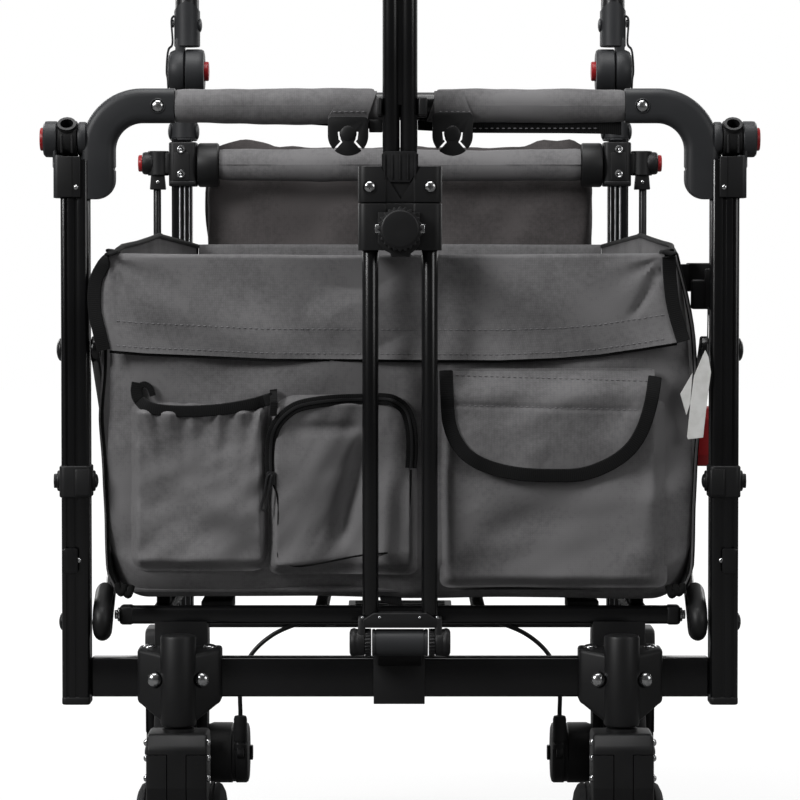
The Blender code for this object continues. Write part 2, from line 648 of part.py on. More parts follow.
def rear_posts():
    for word, side in SIDES:
        x = side * REAR_POST_X
        outer = REAR_POST_X + REAR_POST_WIDTH / 2
        high, low = (REAR_Y, HIGH_PIVOT_Z), (REAR_Y, LOW_PIVOT_Z)
        grooves = [side * (REAR_POST_X + 6.5), side * (REAR_POST_X - 0.5)]
        profile = grooved_profile(x, REAR_Y, REAR_POST_WIDTH, REAR_POST_HALF_DEPTH, grooves)
        hinge = (REAR_Y, HANDLE_HINGE_Z)
        sleeve_top = HANDLE_HINGE_Z - HANDLE_HINGE_RADIUS - 1.5
        shapes = [
            plate("z", profile, *REAR_POST_Z),
            rod("z", (side * 245.0, REAR_Y), 15.5, 802.5, sleeve_top, MEDIUM_SIDES),
            side_block(side, (229.0, 242.6), (REAR_Y - 12, REAR_Y + 12), (845.0, HANDLE_HINGE_Z), 1.0),
            rod("x", hinge, HANDLE_HINGE_RADIUS, side * 221.0, side * 242.7, LARGE_SIDES),
            rod("x", high, 9.0, side * (outer - 2), side * (INNER_PLANE_X[0] - GAP), SMALL_SIDES),
            rod("x", high, PIN_RADIUS, side * 250, side * 273.5, SMALL_SIDES),
            rod("x", high, 7.5, side * (INNER_PLANE_X[1] + GAP), side * 274.5, SMALL_SIDES),
            rod("x", low, 10.0, side * (outer - 2), side * (OUTER_PLANE_X[0] - GAP), SMALL_SIDES),
            rod("x", low, PIN_RADIUS, side * 250, side * 283, SMALL_SIDES),
            rod("x", low, 9.0, side * (OUTER_PLANE_X[1] + GAP), side * 284, SMALL_SIDES),
        ]
        cuts = [
            rod("x", hinge, STEM_HOLE_RADIUS, side * 219.0, side * 250.0, SMALL_SIDES),
            rod("x", hinge, 11.4, side * 210.0, side * 226.3, MEDIUM_SIDES),
        ]
        build(f"rear_post_{word}", "gloss_black_paint", shapes, cuts)


def rear_cross_tube():
    reach = REAR_POST_X - REAR_POST_WIDTH / 2 - GAP
    saddle_y = REAR_Y - FLOOR_PIVOT_INSET
    pedal = (REAR_Y + 26.0, 261.0)
    shapes = [block((-reach, reach), (REAR_Y - 11, REAR_Y + 11), REAR_TUBE_Z, 2.0)]
    cuts = []
    for _, side in SIDES:
        shapes.append(side_block(side, (196.0, 208.0), (saddle_y - 11, saddle_y + 11), (255.0, 340.0), 1.0))
        bar = (saddle_y, FLOOR_PIVOT_Z)
        cuts.append(rod("x", bar, FLOOR_BAR_RADIUS + GAP, side * 180, side * 220, MEDIUM_SIDES))
        shapes.append(side_block(side, (64.0, 70.0), (REAR_Y + 5, REAR_Y + 35), (252.0, 270.0), 1.0))
        shapes.append(side_block(side, (72.0, 84.0), (REAR_Y - 23, REAR_Y - 8), (254.0, 269.0), 1.5))
    shapes.append(rod("x", pedal, PIN_RADIUS, -66.0, 66.0, SMALL_SIDES))
    build("rear_cross_tube", "gloss_black_paint", shapes, cuts)

    tread = [(0, 9), (-8, 4), (-8, -5), (0, -9), (22, -6), (60, 4), (62, 10), (56, 12), (20, 4)]
    tread = [(pedal[0] + a, pedal[1] + b) for a, b in tread]
    shapes = [rod("x", pedal, 9.5, -63.5, 63.5, MEDIUM_SIDES), plate("x", tread, -60.0, 60.0)]
    bore = rod("x", pedal, PIN_HOLE_RADIUS, -80.0, 80.0, SMALL_SIDES)
    build("brake_pedal", "black_plastic", shapes, [bore], origin=(0, *pedal))


def rear_clamps():
    half = REAR_POST_WIDTH / 2 + GAP
    for word, side in SIDES:
        body = side_block(side, CLAMP_X, (REAR_Y - 18, REAR_Y + 18), CLAMP_Z, 2.0)
        channel_y = (REAR_Y - REAR_POST_HALF_DEPTH - GAP, REAR_Y + REAR_POST_HALF_DEPTH + GAP)
        channel = side_block(side, (REAR_POST_X - half, REAR_POST_X + half), channel_y, (700.0, 850.0))
        build(f"rear_clamp_{word}", "black_plastic", [body], [channel])

        button_axis = (REAR_Y, 778.0)
        shapes = [
            rod("z", (side * RING_X, REAR_Y), 12.0, 764.0, 792.0, MEDIUM_SIDES),
            rod("x", button_axis, 12.0, side * 280, side * 292.0, MEDIUM_SIDES),
            side_block(side, (266.0, 283.0), (REAR_Y - 8, REAR_Y + 8), (748.0, 767.0), 1.5),
            rod("z", (side * 275.6, REAR_Y), 4.5, 598.5, 750.0, SMALL_SIDES),
        ]
        cuts = [
            rod("z", (side * RING_X, REAR_Y), 6.4, 768.0, 800.0, SMALL_SIDES),
            rod("x", button_axis, 9.9, side * 287.0, side * 300.0, MEDIUM_SIDES),
        ]
        build(f"canopy_socket_rear_{word}", "black_plastic", shapes, cuts)
        button = rod("x", button_axis, 9.5, side * 289.4, side * 297.0, MEDIUM_SIDES)
        build(f"ring_button_{word}", "red_plastic", [button], origin=(side * 293, *button_axis))


def rear_bar():
    axis = (REAR_Y, REAR_BAR_Z)
    end = CLAMP_X[0] - GAP
    shapes = [rod("x", axis, 18.5, -207.0, 207.0, LARGE_SIDES)]
    for _, side in SIDES:
        shapes.append(rod("x", axis, 25.0, side * 205.4, side * end, LARGE_SIDES))
    build("rear_bar", "grey_fabric", shapes)


def push_handle():
    hinge = (REAR_Y, HANDLE_HINGE_Z)
    top_z = 1072.0
    lean = 34.0
    grip_half = 190.0
    knee_z = 958.0
    shapes = []
    corners = []
    for _, side in SIDES:
        x = side * HANDLE_TUBE_X
        knee = (x, REAR_Y, knee_z)
        corner = (x, REAR_Y + lean, top_z)
        first = (x, REAR_Y, HANDLE_HINGE_Z + 30)
        low_bend = rounded_corner(knee, first, corner, 90.0, 2)
        high_bend = rounded_corner(corner, knee, (0, REAR_Y + lean, top_z), 48.0, 5)
        corners.append([first, *low_bend, *high_bend])
    route = [*corners[0], *reversed(corners[1])]
    shapes.append(tube(route, HANDLE_TUBE_RADIUS, 12))
    shapes.append(rod("x", (REAR_Y + lean, top_z), 17.0, -grip_half + 20, grip_half - 20, MEDIUM_SIDES))
    for _, side in SIDES:
        x = side * HANDLE_TUBE_X
        sleeve_low = HANDLE_HINGE_Z + HANDLE_HINGE_RADIUS + 1.5
        web_y = (REAR_Y - 12, REAR_Y + 12)
        shapes.append(rod("z", (x, REAR_Y), 14.8, sleeve_low, 950.0, MEDIUM_SIDES))
        shapes.append(side_block(side, (243.3, 254.0), web_y, (HANDLE_HINGE_Z, 920.0), 1.0))
        shapes.append(rod("x", hinge, HANDLE_HINGE_RADIUS, side * 243.2, side * 265.5, LARGE_SIDES))
        shapes.append(rod("x", hinge, STEM_RADIUS, side * 227.0, side * 250.0, SMALL_SIDES))
    build("push_handle", "dark_grey_plastic", shapes, origin=(0, *hinge))
    for word, side in SIDES:
        button = rod("x", hinge, 11.0, side * 216.0, side * 224.2, MEDIUM_SIDES)
        build(f"handle_button_{word}", "red_plastic", [button], origin=(side * 220, *hinge))


def rear_wheels():
    axle = (REAR_AXLE_Y, REAR_WHEEL_RADIUS)
    low, high = REAR_WHEEL_SPAN
    leg = [(REAR_AXLE_Y - 40, 246.0), (REAR_AXLE_Y - 40, 212.0)]
    for step in range(9):
        turn = math.pi + math.pi * step / 8
        leg.append((REAR_AXLE_Y + 19 * math.cos(turn), REAR_WHEEL_RADIUS + 19 * math.sin(turn)))
    leg += [(REAR_AXLE_Y + 30, 212.0), (REAR_AXLE_Y + 30, 246.0)]
    for word, side in SIDES:
        drum_x = 181.5
        shapes = [
            side_block(side, (219.0, 290.0), (REAR_AXLE_Y - 40, REAR_AXLE_Y + 30), (213.0, 249.6), 3.0),
            side_plate(side, leg, (219.5, 229.5)),
            side_plate(side, leg, (280.5, 289.5)),
            rod("x", axle, 6.0, side * 212, side * 285, SMALL_SIDES),
            rod("x", axle, 34.7, side * 172.0, side * 221.0, LARGE_SIDES),
            rod("z", (side * drum_x, REAR_AXLE_Y - 34), 7.5, 112.0, 151.0, SMALL_SIDES),
        ]
        build(f"wheel_housing_{word}", "black_plastic", shapes)
        profile = [
            (6.4, low), (26, low), (68, low + 7), (74, low), (96, low), (REAR_WHEEL_RADIUS, low + 9),
            (REAR_WHEEL_RADIUS, high - 9), (96, high), (74, high), (68, high - 7), (26, high), (6.4, high),
        ]
        wheel = turned("x", axle, [(r, side * along) for r, along in profile], 24)
        build(f"rear_wheel_{word}", "rubber", [wheel], origin=(side * (low + high) / 2, *axle))
        boot_y = REAR_AXLE_Y - 34
        knots = [
            (side * drum_x, boot_y, 151.4), (side * 181, boot_y - 1, 185), (side * 170, boot_y - 5, 219),
            (side * 145, boot_y - 5, 243), (side * 112, boot_y - 3, 257), (side * 84.4, REAR_Y - 16, 261.5),
        ]
        build(f"brake_cable_{word}", "cable_sheath", [tube(smooth_route(knots, 3), 2.5, 8)])


def floor_half(name, bar_y, way, half):
    """A floor frame half hinged on its outer bar of the given half length, with the board that lies on it."""
    tip = bar_y + way * FLOOR_HALF_LENGTH

    def span(near, far):
        return tuple(sorted((bar_y + way * near, bar_y + way * far)))

    shapes = [rod("x", (bar_y, FLOOR_PIVOT_Z), FLOOR_BAR_RADIUS, -half, half, MEDIUM_SIDES)]
    for _, side in SIDES:
        shapes.append(side_block(side, (211.5, 228.0), span(0, FLOOR_HALF_LENGTH - 3), (337.5, 351.5)))
        shapes.append(side_block(side, (67.0, 79.0), span(0, FLOOR_HALF_LENGTH - 3), (338.0, 351.0)))
        shapes.append(side_block(side, (154.0, 183.0), span(-7, 7), (348.0, 356.6)))
        shapes.append(side_block(side, (213.0, 226.0), span(60.0, 290.0), (349.0, 363.0)))
    shapes.append(block((-228.0, 228.0), tuple(sorted((tip, tip - way * 15))), (338.5, 350.5)))
    shapes.append(block((-234.0, 234.0), span(24, FLOOR_HALF_LENGTH - 2), (361.0, 366.0)))
    build(name, "gloss_black_paint", shapes, origin=(0, bar_y, FLOOR_PIVOT_Z))


def pillow(x, z, back_y, depth, columns=6, rows=6):
    """A pocket: a flat back with a crowned front, fuller towards its lower half."""

    def place(u, v):
        swell = math.sin(math.pi * min(max(u, 0.0), 1.0)) ** 0.35
        rise = swell * math.sin(math.pi * (0.06 + 0.86 * v)) ** 0.5
        fold = 1.5 * math.sin(11 * u + 5 * v)
        y = back_y - depth * rise - (fold if 0 < u < 1 and 0 < v < 1 else 0.0)
        return (x[0] + (x[1] - x[0]) * u, y, z[0] + (z[1] - z[0]) * v)

    bm = bmesh.new()
    front, back = [], []
    for row in range(rows + 1):
        front.append([bm.verts.new(place(c / columns, row / rows)) for c in range(columns + 1)])
        line = []
        for column in range(columns + 1):
            point = place(column / columns, row / rows)
            line.append(bm.verts.new((point[0], back_y + 3.0, point[2])))
        back.append(line)
    for layer in (front, back):
        for row in range(rows):
            for column in range(columns):
                low, high = layer[row], layer[row + 1]
                bm.faces.new((low[column], low[column + 1], high[column + 1], high[column]))
    rims = [
        ([line[0] for line in front], [line[0] for line in back]),
        ([line[-1] for line in front], [line[-1] for line in back]),
        (front[0], back[0]),
        (front[-1], back[-1]),
    ]
    for first, second in rims:
        for index in range(len(first) - 1):
            bm.faces.new((first[index], first[index + 1], second[index + 1], second[index]))
    return from_bmesh(bm)


def basket():
    half = 268.0
    corner = 45.0
    panel_front = FRONT_Y - 14.0

    def front_place(u, v):
        z = BASKET_BOTTOM_Z + (BASKET_RIM_Z - BASKET_BOTTOM_Z) * v
        lift = max(0.0, corner - (z - BASKET_BOTTOM_Z))
        reach = half - corner + math.sqrt(max(0.0, corner**2 - lift**2))
        fold = 0.7 * math.sin(9 * u + 4 * v)
        return (reach * (2 * u - 1), panel_front - fold, z), (0.0, 1.0, 0.0)

    def flap_place(u, v):
        sag = 4.0 * math.sin(math.pi * u)
        z = 583.0 - sag + (BASKET_RIM_Z + 1.0 - 583.0 + sag) * v
        wave = (1.0 - v) * (2.0 * math.sin(14 * u) + 1.2 * math.sin(31 * u + 1.0))
        return (266.0 * (2 * u - 1), FRONT_Y - 20.5 - wave, z), (0.0, 1.0, 0.0)

    shapes = [
        sheet(10, 6, front_place, 5.5),
        sheet(16, 2, flap_place, 10.0),
        pillow((-248.0, -119.5), (386.0, 552.0), panel_front, 16.0),
        pillow((-118.5, 17.0), (383.0, 548.0), panel_front, 17.5),
        pillow((36.0, 245.0), (370.0, 536.0), panel_front, 14.0),
    ]
    build("front_panel", "grey_fabric", shapes)

    def rear_place(u, v):
        z = BASKET_BOTTOM_Z + 320.0 * v
        fold = 1.2 * math.sin(12 * u) * math.sin(math.pi * v)
        return (230.0 * (2 * u - 1), REAR_Y + 9.5 + fold, z), (0.0, 1.0, 0.0)

    build("rear_panel", "grey_fabric", [sheet(10, 4, rear_place, 4.5)])

    for word, side in SIDES:

        def side_place(u, v):
            y = FRONT_Y - 7.0 + (PLANE_SPACING + 14.0) * u
            top = 678.0 + 14.0 * (1 - abs(2 * u - 1)) + (4.0 * u)
            z = 366.0 + (top - 366.0) * v
            fold = 2.0 * math.sin(2 * math.pi * 3 * u) * math.sin(math.pi * v)
            x = 256.0 - 24.0 * u - 2.0 - fold
            return (side * x, y, z), (-side, 0.0, 0.0)

        build(f"side_wall_{word}", "grey_fabric", [sheet(12, 4, side_place, 4.0)])

    mat_y = (FRONT_Y + 12.0, REAR_Y - 12.0)
    build("basket_floor", "grey_fabric", [block((-224.0, 224.0), mat_y, (366.6, 376.0), 3.0)])


def rear_bag():
    x, y, z = (-222.0, 222.0), (REAR_Y + 27.0, REAR_Y + 108.0), (520.0, 800.0)
    inner = block((x[0] + 4, x[1] - 4), (y[0] + 4, y[1] - 4), (z[0] + 4, z[1] + 20), 0.0)
    build("rear_bag", "grey_fabric", [block(x, y, z, 6.0)], [inner])


front_posts()
front_cross_tube()
front_hubs()
front_bar()
pull_bracket()
pull_handle()
for side_word, side_sign in SIDES:
    caster(side_word, side_sign)
side_links()
fold_lever()
ring_holder()
rear_posts()
rear_cross_tube()
rear_clamps()
rear_bar()
push_handle()
rear_wheels()
floor_half("floor_front_half", FRONT_Y + FLOOR_PIVOT_INSET, 1, FRONT_FLOOR_BAR_HALF)
floor_half("floor_rear_half", REAR_Y - FLOOR_PIVOT_INSET, -1, REAR_FLOOR_BAR_HALF)
basket()
rear_bag()
print("nodes:", len([thing for thing in bpy.data.objects if not thing.hide_render]))
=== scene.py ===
# Folding hand-pulled wagon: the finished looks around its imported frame.
# Sizes are in millimetres unless a line says otherwise. The pull handle's end faces -Y.
import bpy
import json
import math
from mathutils import Matrix, Vector, noise


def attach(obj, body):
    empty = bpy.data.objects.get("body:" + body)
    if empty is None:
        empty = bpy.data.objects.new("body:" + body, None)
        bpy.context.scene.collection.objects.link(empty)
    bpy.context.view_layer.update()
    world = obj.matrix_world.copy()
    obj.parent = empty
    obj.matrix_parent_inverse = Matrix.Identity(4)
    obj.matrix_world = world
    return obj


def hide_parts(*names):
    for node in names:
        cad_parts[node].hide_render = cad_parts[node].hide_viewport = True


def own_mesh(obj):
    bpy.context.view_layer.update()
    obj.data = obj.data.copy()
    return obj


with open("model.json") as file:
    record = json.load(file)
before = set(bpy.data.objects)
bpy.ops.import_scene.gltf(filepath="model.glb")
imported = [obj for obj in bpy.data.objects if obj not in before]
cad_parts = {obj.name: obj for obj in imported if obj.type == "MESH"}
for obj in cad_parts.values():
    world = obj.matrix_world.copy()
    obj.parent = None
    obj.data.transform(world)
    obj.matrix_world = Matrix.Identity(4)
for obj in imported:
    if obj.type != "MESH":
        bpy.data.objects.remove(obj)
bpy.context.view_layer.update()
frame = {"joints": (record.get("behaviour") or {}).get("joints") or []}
mm = 0.001
joints = {joint["name"]: joint for joint in frame["joints"]}


def jointPlace(name):
    return [value / mm for value in joints[name]["pos_m"]]


# Places that the frame gives
frontY = jointPlace("fold")[1]
rearY = jointPlace("link_rear_end_left")[1]
middleY = jointPlace("link_middle_left")[1]
lowPivotZ = jointPlace("fold")[2]
highPivotZ = jointPlace("link_middle_left")[2]
hubZ = jointPlace("canopy_socket_turn_right")[2]
pullY, pullHingeZ = jointPlace("pull_handle_tilt")[1:]
knobZ = jointPlace("pull_knob_turn")[2]
casterX, casterY = jointPlace("caster_swivel_right")[:2]
handleHingeZ = jointPlace("push_handle_fold")[2]


# Camera at the photograph's place: level with the basket's rim, looking slightly down
photo = {"distance": 3200, "eyeHeight": 673, "focalPixels": 3520, "imagePixels": 800,
    "horizonRow": 256, "sensor": 36}


def setCamera():
    cameraData = bpy.data.cameras.new("photoCamera")
    camera = bpy.data.objects.new("photoCamera", cameraData)
    bpy.context.scene.collection.objects.link(camera)
    bpy.context.scene.camera = camera
    cameraData.sensor_width = photo["sensor"]
    cameraData.lens = photo["sensor"] * photo["focalPixels"] / photo["imagePixels"]
    drop = math.atan((photo["imagePixels"] / 2 - photo["horizonRow"]) / photo["focalPixels"])
    camera.location = (0, (frontY - photo["distance"]) * mm, photo["eyeHeight"] * mm)
    camera.rotation_euler = (math.pi / 2 - drop, 0, 0)


setCamera()


# Small tools for modelling
weldGap = {"solid": 0.000001, "ribbon": 0.00001, "cloth": 0.00002}  # metres


def deselectAll():
    if bpy.context.object and bpy.context.object.mode != "OBJECT":
        bpy.ops.object.mode_set(mode="OBJECT")
    bpy.ops.object.select_all(action="DESELECT")


def pick(piece):
    deselectAll()
    piece.select_set(True)
    bpy.context.view_layer.objects.active = piece


def applyAll(piece):
    pick(piece)
    for modifier in list(piece.modifiers):
        bpy.ops.object.modifier_apply(modifier=modifier.name)


def edit(piece):
    pick(piece)
    bpy.ops.object.mode_set(mode="EDIT")
    bpy.ops.mesh.select_mode(type="VERT")
    bpy.ops.mesh.select_all(action="SELECT")


def outward(piece):
    edit(piece)
    bpy.ops.mesh.normals_make_consistent(inside=False)
    bpy.ops.object.mode_set(mode="OBJECT")


def bevelled(piece, width, segments=2, angle=30):
    if width:
        bevel = piece.modifiers.new("edges", "BEVEL")
        bevel.width = width * mm
        bevel.segments = segments
        bevel.limit_method = "ANGLE"
        bevel.angle_limit = math.radians(angle)
        bevel.use_clamp_overlap = True
        applyAll(piece)
    return piece


def block(x, y, z, rounding=0.0, segments=3):
    deselectAll()
    spans = (x, y, z)
    bpy.ops.mesh.primitive_cube_add(size=1, location=[(low + high) / 2 * mm for low, high in spans])
    piece = bpy.context.object
    bpy.ops.transform.resize(value=[abs(high - low) * mm for low, high in spans])
    bpy.ops.object.transform_apply(location=True, rotation=True, scale=True)
    return bevelled(piece, rounding, segments)


def lay(piece, axis):
    # turns a shape drawn over the XY plane so that its height runs along the axis
    for vertex in piece.data.vertices:
        a, b, along = vertex.co
        vertex.co = {"x": (along, a, b), "y": (a, along, b), "z": (a, b, along)}[axis]
    outward(piece)
    return piece


def turned(axis, centre, profile, steps=40, closed=False):
    # a lathe: one ring of points, extruded and scaled from station to station
    stations = list(profile) + [profile[0]] if closed else list(profile)
    deselectAll()
    bpy.ops.mesh.primitive_circle_add(vertices=steps, radius=stations[0][0] * mm,
        location=(0, 0, stations[0][1] * mm))
    piece = bpy.context.object
    bpy.ops.object.transform_apply(location=True, rotation=True, scale=True)
    bpy.ops.object.mode_set(mode="EDIT")
    bpy.ops.mesh.select_all(action="SELECT")
    if not closed:
        bpy.ops.mesh.edge_face_add()
    for (radius, level), (nextRadius, nextLevel) in zip(stations, stations[1:]):
        bpy.ops.mesh.extrude_region_move(TRANSFORM_OT_translate={"value": (0, 0, (nextLevel - level) * mm)})
        growth = nextRadius / radius
        bpy.ops.transform.resize(value=(growth, growth, 1), center_override=(0, 0, nextLevel * mm))
    bpy.ops.mesh.select_all(action="SELECT")
    bpy.ops.mesh.remove_doubles(threshold=weldGap["solid"])
    bpy.ops.object.mode_set(mode="OBJECT")
    for vertex in piece.data.vertices:
        vertex.co.x += centre[0] * mm
        vertex.co.y += centre[1] * mm
    return lay(piece, axis)


def rod(axis, centre, radius, low, high, rounding=0.8, steps=32):
    low, high = min(low, high), max(low, high)
    profile = []
    for turn in (0, 45, 90):
        slope = math.radians(turn)
        profile.append((radius - rounding + rounding * math.sin(slope),
            low + rounding - rounding * math.cos(slope)))
    profile += [(r, low + high - level) for r, level in reversed(profile)]
    return turned(axis, centre, profile, steps)


def dome(axis, centre, radius, base, tip, steps=24):
    # a rivet head: a short rim and a round crown; tip may lie on either side of base
    rise = tip - base
    profile = [(radius * 0.98, base), (radius, base + rise * 0.25)]
    for turn in (20, 45, 70, 85):
        slope = math.radians(turn)
        profile.append((radius * math.cos(slope), base + rise * (0.25 + 0.75 * math.sin(slope))))
    return turned(axis, centre, profile, steps)


def plate(axis, outline, low, high, rounding=0.0, segments=2):
    deselectAll()
    bpy.ops.mesh.primitive_circle_add(vertices=len(outline), radius=1, fill_type="NGON")
    piece = bpy.context.object
    for vertex, (a, b) in zip(piece.data.vertices, outline):
        vertex.co = (a * mm, b * mm, low * mm)
    edit(piece)
    bpy.ops.mesh.extrude_region_move(TRANSFORM_OT_translate={"value": (0, 0, (high - low) * mm)})
    bpy.ops.object.mode_set(mode="OBJECT")
    lay(piece, axis)
    return bevelled(piece, rounding, segments)


def pillow(axis, outline, low, high, centre, inset, layers=10):
    # a plate rounded over its whole thickness: its outline draws in towards the centre at both faces
    def shareAt(step):
        turn = math.pi * step / layers
        return low + (high - low) * (1 - math.cos(turn)) / 2, 1 - inset * (1 - math.sin(turn))

    deselectAll()
    bpy.ops.mesh.primitive_circle_add(vertices=len(outline), radius=1, fill_type="NGON")
    piece = bpy.context.object
    level, share = shareAt(0)
    for vertex, (a, b) in zip(piece.data.vertices, outline):
        vertex.co = ((centre[0] + (a - centre[0]) * share) * mm,
            (centre[1] + (b - centre[1]) * share) * mm, level * mm)
    edit(piece)
    for step in range(1, layers + 1):
        nextLevel, nextShare = shareAt(step)
        bpy.ops.mesh.extrude_region_move(TRANSFORM_OT_translate={"value": (0, 0, (nextLevel - level) * mm)})
        growth = nextShare / share
        bpy.ops.transform.resize(value=(growth, growth, 1),
            center_override=(centre[0] * mm, centre[1] * mm, nextLevel * mm))
        level, share = nextLevel, nextShare
    bpy.ops.object.mode_set(mode="OBJECT")
    return lay(piece, axis)


def arcPoints(centre, radius, start, end, count=8):
    turns = [math.radians(start + (end - start) * step / count) for step in range(count + 1)]
    return [(centre[0] + radius * math.cos(t), centre[1] + radius * math.sin(t)) for t in turns]


def boxPoints(across, up, radius):
    # the four corners of a box, to be rounded by that radius
    (left, right), (low, high) = across, up
    return [(left, low, radius), (right, low, radius), (right, high, radius), (left, high, radius)]


def roundOutline(corners, count=5):
    # corners hold (a, b, radius); each is replaced by an arc
    points = []
    for index, (a, b, radius) in enumerate(corners):
        here = Vector((a, b))
        toLast = (Vector(corners[index - 1][:2]) - here).normalized()
        toNext = (Vector(corners[(index + 1) % len(corners)][:2]) - here).normalized()
        if radius <= 0:
            points.append((a, b))
            continue
        half = toLast.angle(toNext) / 2
        centre = here + (toLast + toNext).normalized() * radius / math.sin(half)
        start = here + toLast * radius / math.tan(half) - centre
        end = here + toNext * radius / math.tan(half) - centre
        sweep = start.angle(end)
        for step in range(count + 1):
            t = step / count
            spoke = (start * math.sin((1 - t) * sweep) + end * math.sin(t * sweep)) / math.sin(sweep)
            points.append(tuple(centre + spoke))
    return points


def slab(axis, corners, low, high, rounding=0.0, segments=2):
    # a plate whose corners, (a, b, radius), are rounded
    return plate(axis, roundOutline(corners), low, high, rounding, segments)


def smoothLine(points, steps=6):
    # a smooth curve through given points
    knots = [Vector(point) for point in points]
    knots = [2 * knots[0] - knots[1], *knots, 2 * knots[-1] - knots[-2]]
    line = []
    for index in range(1, len(knots) - 2):
        a, b, c, d = knots[index - 1 : index + 3]
        for step in range(steps):
            t = step / steps
            bow = (2 * a - 5 * b + 4 * c - d) * t * t
            twist = (3 * b - a - 3 * c + d) * t**3
            line.append(0.5 * (2 * b + (c - a) * t + bow + twist))
    line.append(knots[-2])
    return line


def bend(corner, first, second, radius, count=10):
    # points of an arc that rounds the corner between the ways to first and second
    corner, first, second = Vector(corner), Vector(first), Vector(second)
    toFirst = (first - corner).normalized()
    toSecond = (second - corner).normalized()
    half = toFirst.angle(toSecond) / 2
    centre = corner + (toFirst + toSecond).normalized() * radius / math.sin(half)
    start = corner + toFirst * radius / math.tan(half) - centre
    end = corner + toSecond * radius / math.tan(half) - centre
    sweep = start.angle(end)
    shares = [step / count for step in range(count + 1)]
    return [centre + (start * math.sin((1 - t) * sweep) + end * math.sin(t * sweep)) / math.sin(sweep)
        for t in shares]


def curveTube(points, radius, steps=4, profile=None, tilt=None, cyclic=False):
    # a tube along the points; profile is a closed outline in millimetres that takes the place of the circle
    deselectAll()
    bpy.ops.curve.primitive_bezier_curve_add()
    piece = bpy.context.object
    line = piece.data
    line.splines.clear()
    line.dimensions = "3D"
    spline = line.splines.new("POLY")
    spline.points.add(len(points) - 1)
    for knot, point in zip(spline.points, points):
        knot.co = (*(value * mm for value in point), 1)
    spline.use_cyclic_u = cyclic
    line.use_fill_caps = not cyclic
    if tilt is not None:
        line.twist_mode = "Z_UP"
        for knot in spline.points:
            knot.tilt = tilt
    if profile is None:
        line.bevel_depth = radius * mm
        line.bevel_resolution = steps
    else:
        outline = bpy.data.curves.new("section", "CURVE")
        ring = outline.splines.new("POLY")
        ring.points.add(len(profile) - 1)
        for knot, (a, b) in zip(ring.points, profile):
            knot.co = (a * mm, b * mm, 0, 1)
        ring.use_cyclic_u = True
        holder = bpy.data.objects.new("section", outline)
        bpy.context.scene.collection.objects.link(holder)
        line.bevel_mode = "OBJECT"
        line.bevel_object = holder
    pick(piece)
    bpy.ops.object.convert(target="MESH")
    piece = bpy.context.object
    if profile is not None:
        bpy.data.objects.remove(holder)
    piece.location = (0, 0, 0)
    edit(piece)
    bpy.ops.mesh.remove_doubles(threshold=weldGap["solid"])
    bpy.ops.mesh.normals_make_consistent(inside=False)
    bpy.ops.object.mode_set(mode="OBJECT")
    return piece


def boolean(piece, others, operation):
    for other in others:
        step = piece.modifiers.new("step", "BOOLEAN")
        step.operation = operation
        step.solver = "EXACT"
        step.object = other
        applyAll(piece)
        bpy.data.objects.remove(other)
    return piece


def cut(piece, *others):
    return boolean(piece, others, "DIFFERENCE")


def fuse(piece, *others):
    return boolean(piece, others, "UNION")


def joined(*pieces):
    deselectAll()
    for piece in pieces:
        piece.select_set(True)
    bpy.context.view_layer.objects.active = pieces[0]
    bpy.ops.object.join()
    return bpy.context.object


def mirroredCopy(piece):
    twin = piece.copy()
    twin.data = piece.data.copy()
    bpy.context.scene.collection.objects.link(twin)
    twin.data.transform(Matrix.Scale(-1, 4, (1, 0, 0)))
    edit(twin)
    bpy.ops.mesh.flip_normals()
    bpy.ops.object.mode_set(mode="OBJECT")
    return twin


def smooth(piece, angle=35):
    pick(piece)
    bpy.ops.object.shade_smooth_by_angle(angle=math.radians(angle))
    return piece


def done(piece, name, finish, body, slotName, *replaced, angle=35):
    # names a piece, gives it its material and hangs it on its body
    piece.name = name
    piece.data.name = name
    piece.data.materials.clear()
    piece.data.materials.append(finish)
    smooth(piece, angle)
    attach(piece, body)
    if replaced:
        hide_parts(*replaced)
    return piece


def doneBothSides(piece, name, finish, body, slotName, *replaced, angle=35):
    # piece is the right one; %s in the names stands for its side
    twin = mirroredCopy(piece)
    for thing, word in ((piece, "right"), (twin, "left")):
        nodes = [node.replace("%s", word) for node in replaced]
        done(thing, name.replace("%s", word), finish, body.replace("%s", word),
            slotName, *nodes, angle=angle)
    return piece, twin


# Materials
def colour(code, share=1.0):
    # sRGB hex to linear, with an optional share of its brightness
    parts = [int(code[place : place + 2], 16) / 255 for place in (1, 3, 5)]
    linear = [value / 12.92 if value <= 0.04045 else ((value + 0.055) / 1.055) ** 2.4 for value in parts]
    return (*(value * share for value in linear), 1.0)


def newMaterial(name, base, roughness, **sockets):
    material = bpy.data.materials.new(name)
    material.use_nodes = True
    tree = material.node_tree
    shader = tree.nodes["Principled BSDF"]
    shader.inputs["Base Color"].default_value = colour(base)
    shader.inputs["Roughness"].default_value = roughness
    for socket, value in sockets.items():
        shader.inputs[socket.replace("_", " ")].default_value = value
    return material, tree, shader


def addNode(tree, kind, settings=None, links=None):
    # settings go to attributes or, in brackets, to sockets; links bring (node, socket) to the new sockets
    node = tree.nodes.new("ShaderNode" + kind)
    for key, value in (settings or {}).items():
        if key.startswith("["):
            place = key.strip("[]")
            node.inputs[int(place) if place.isdigit() else place].default_value = value
        else:
            setattr(node, key, value)
    for key, (source, output) in (links or {}).items():
        place = int(key) if key.isdigit() else key
        tree.links.new(source.outputs[output], node.inputs[place])
    return node


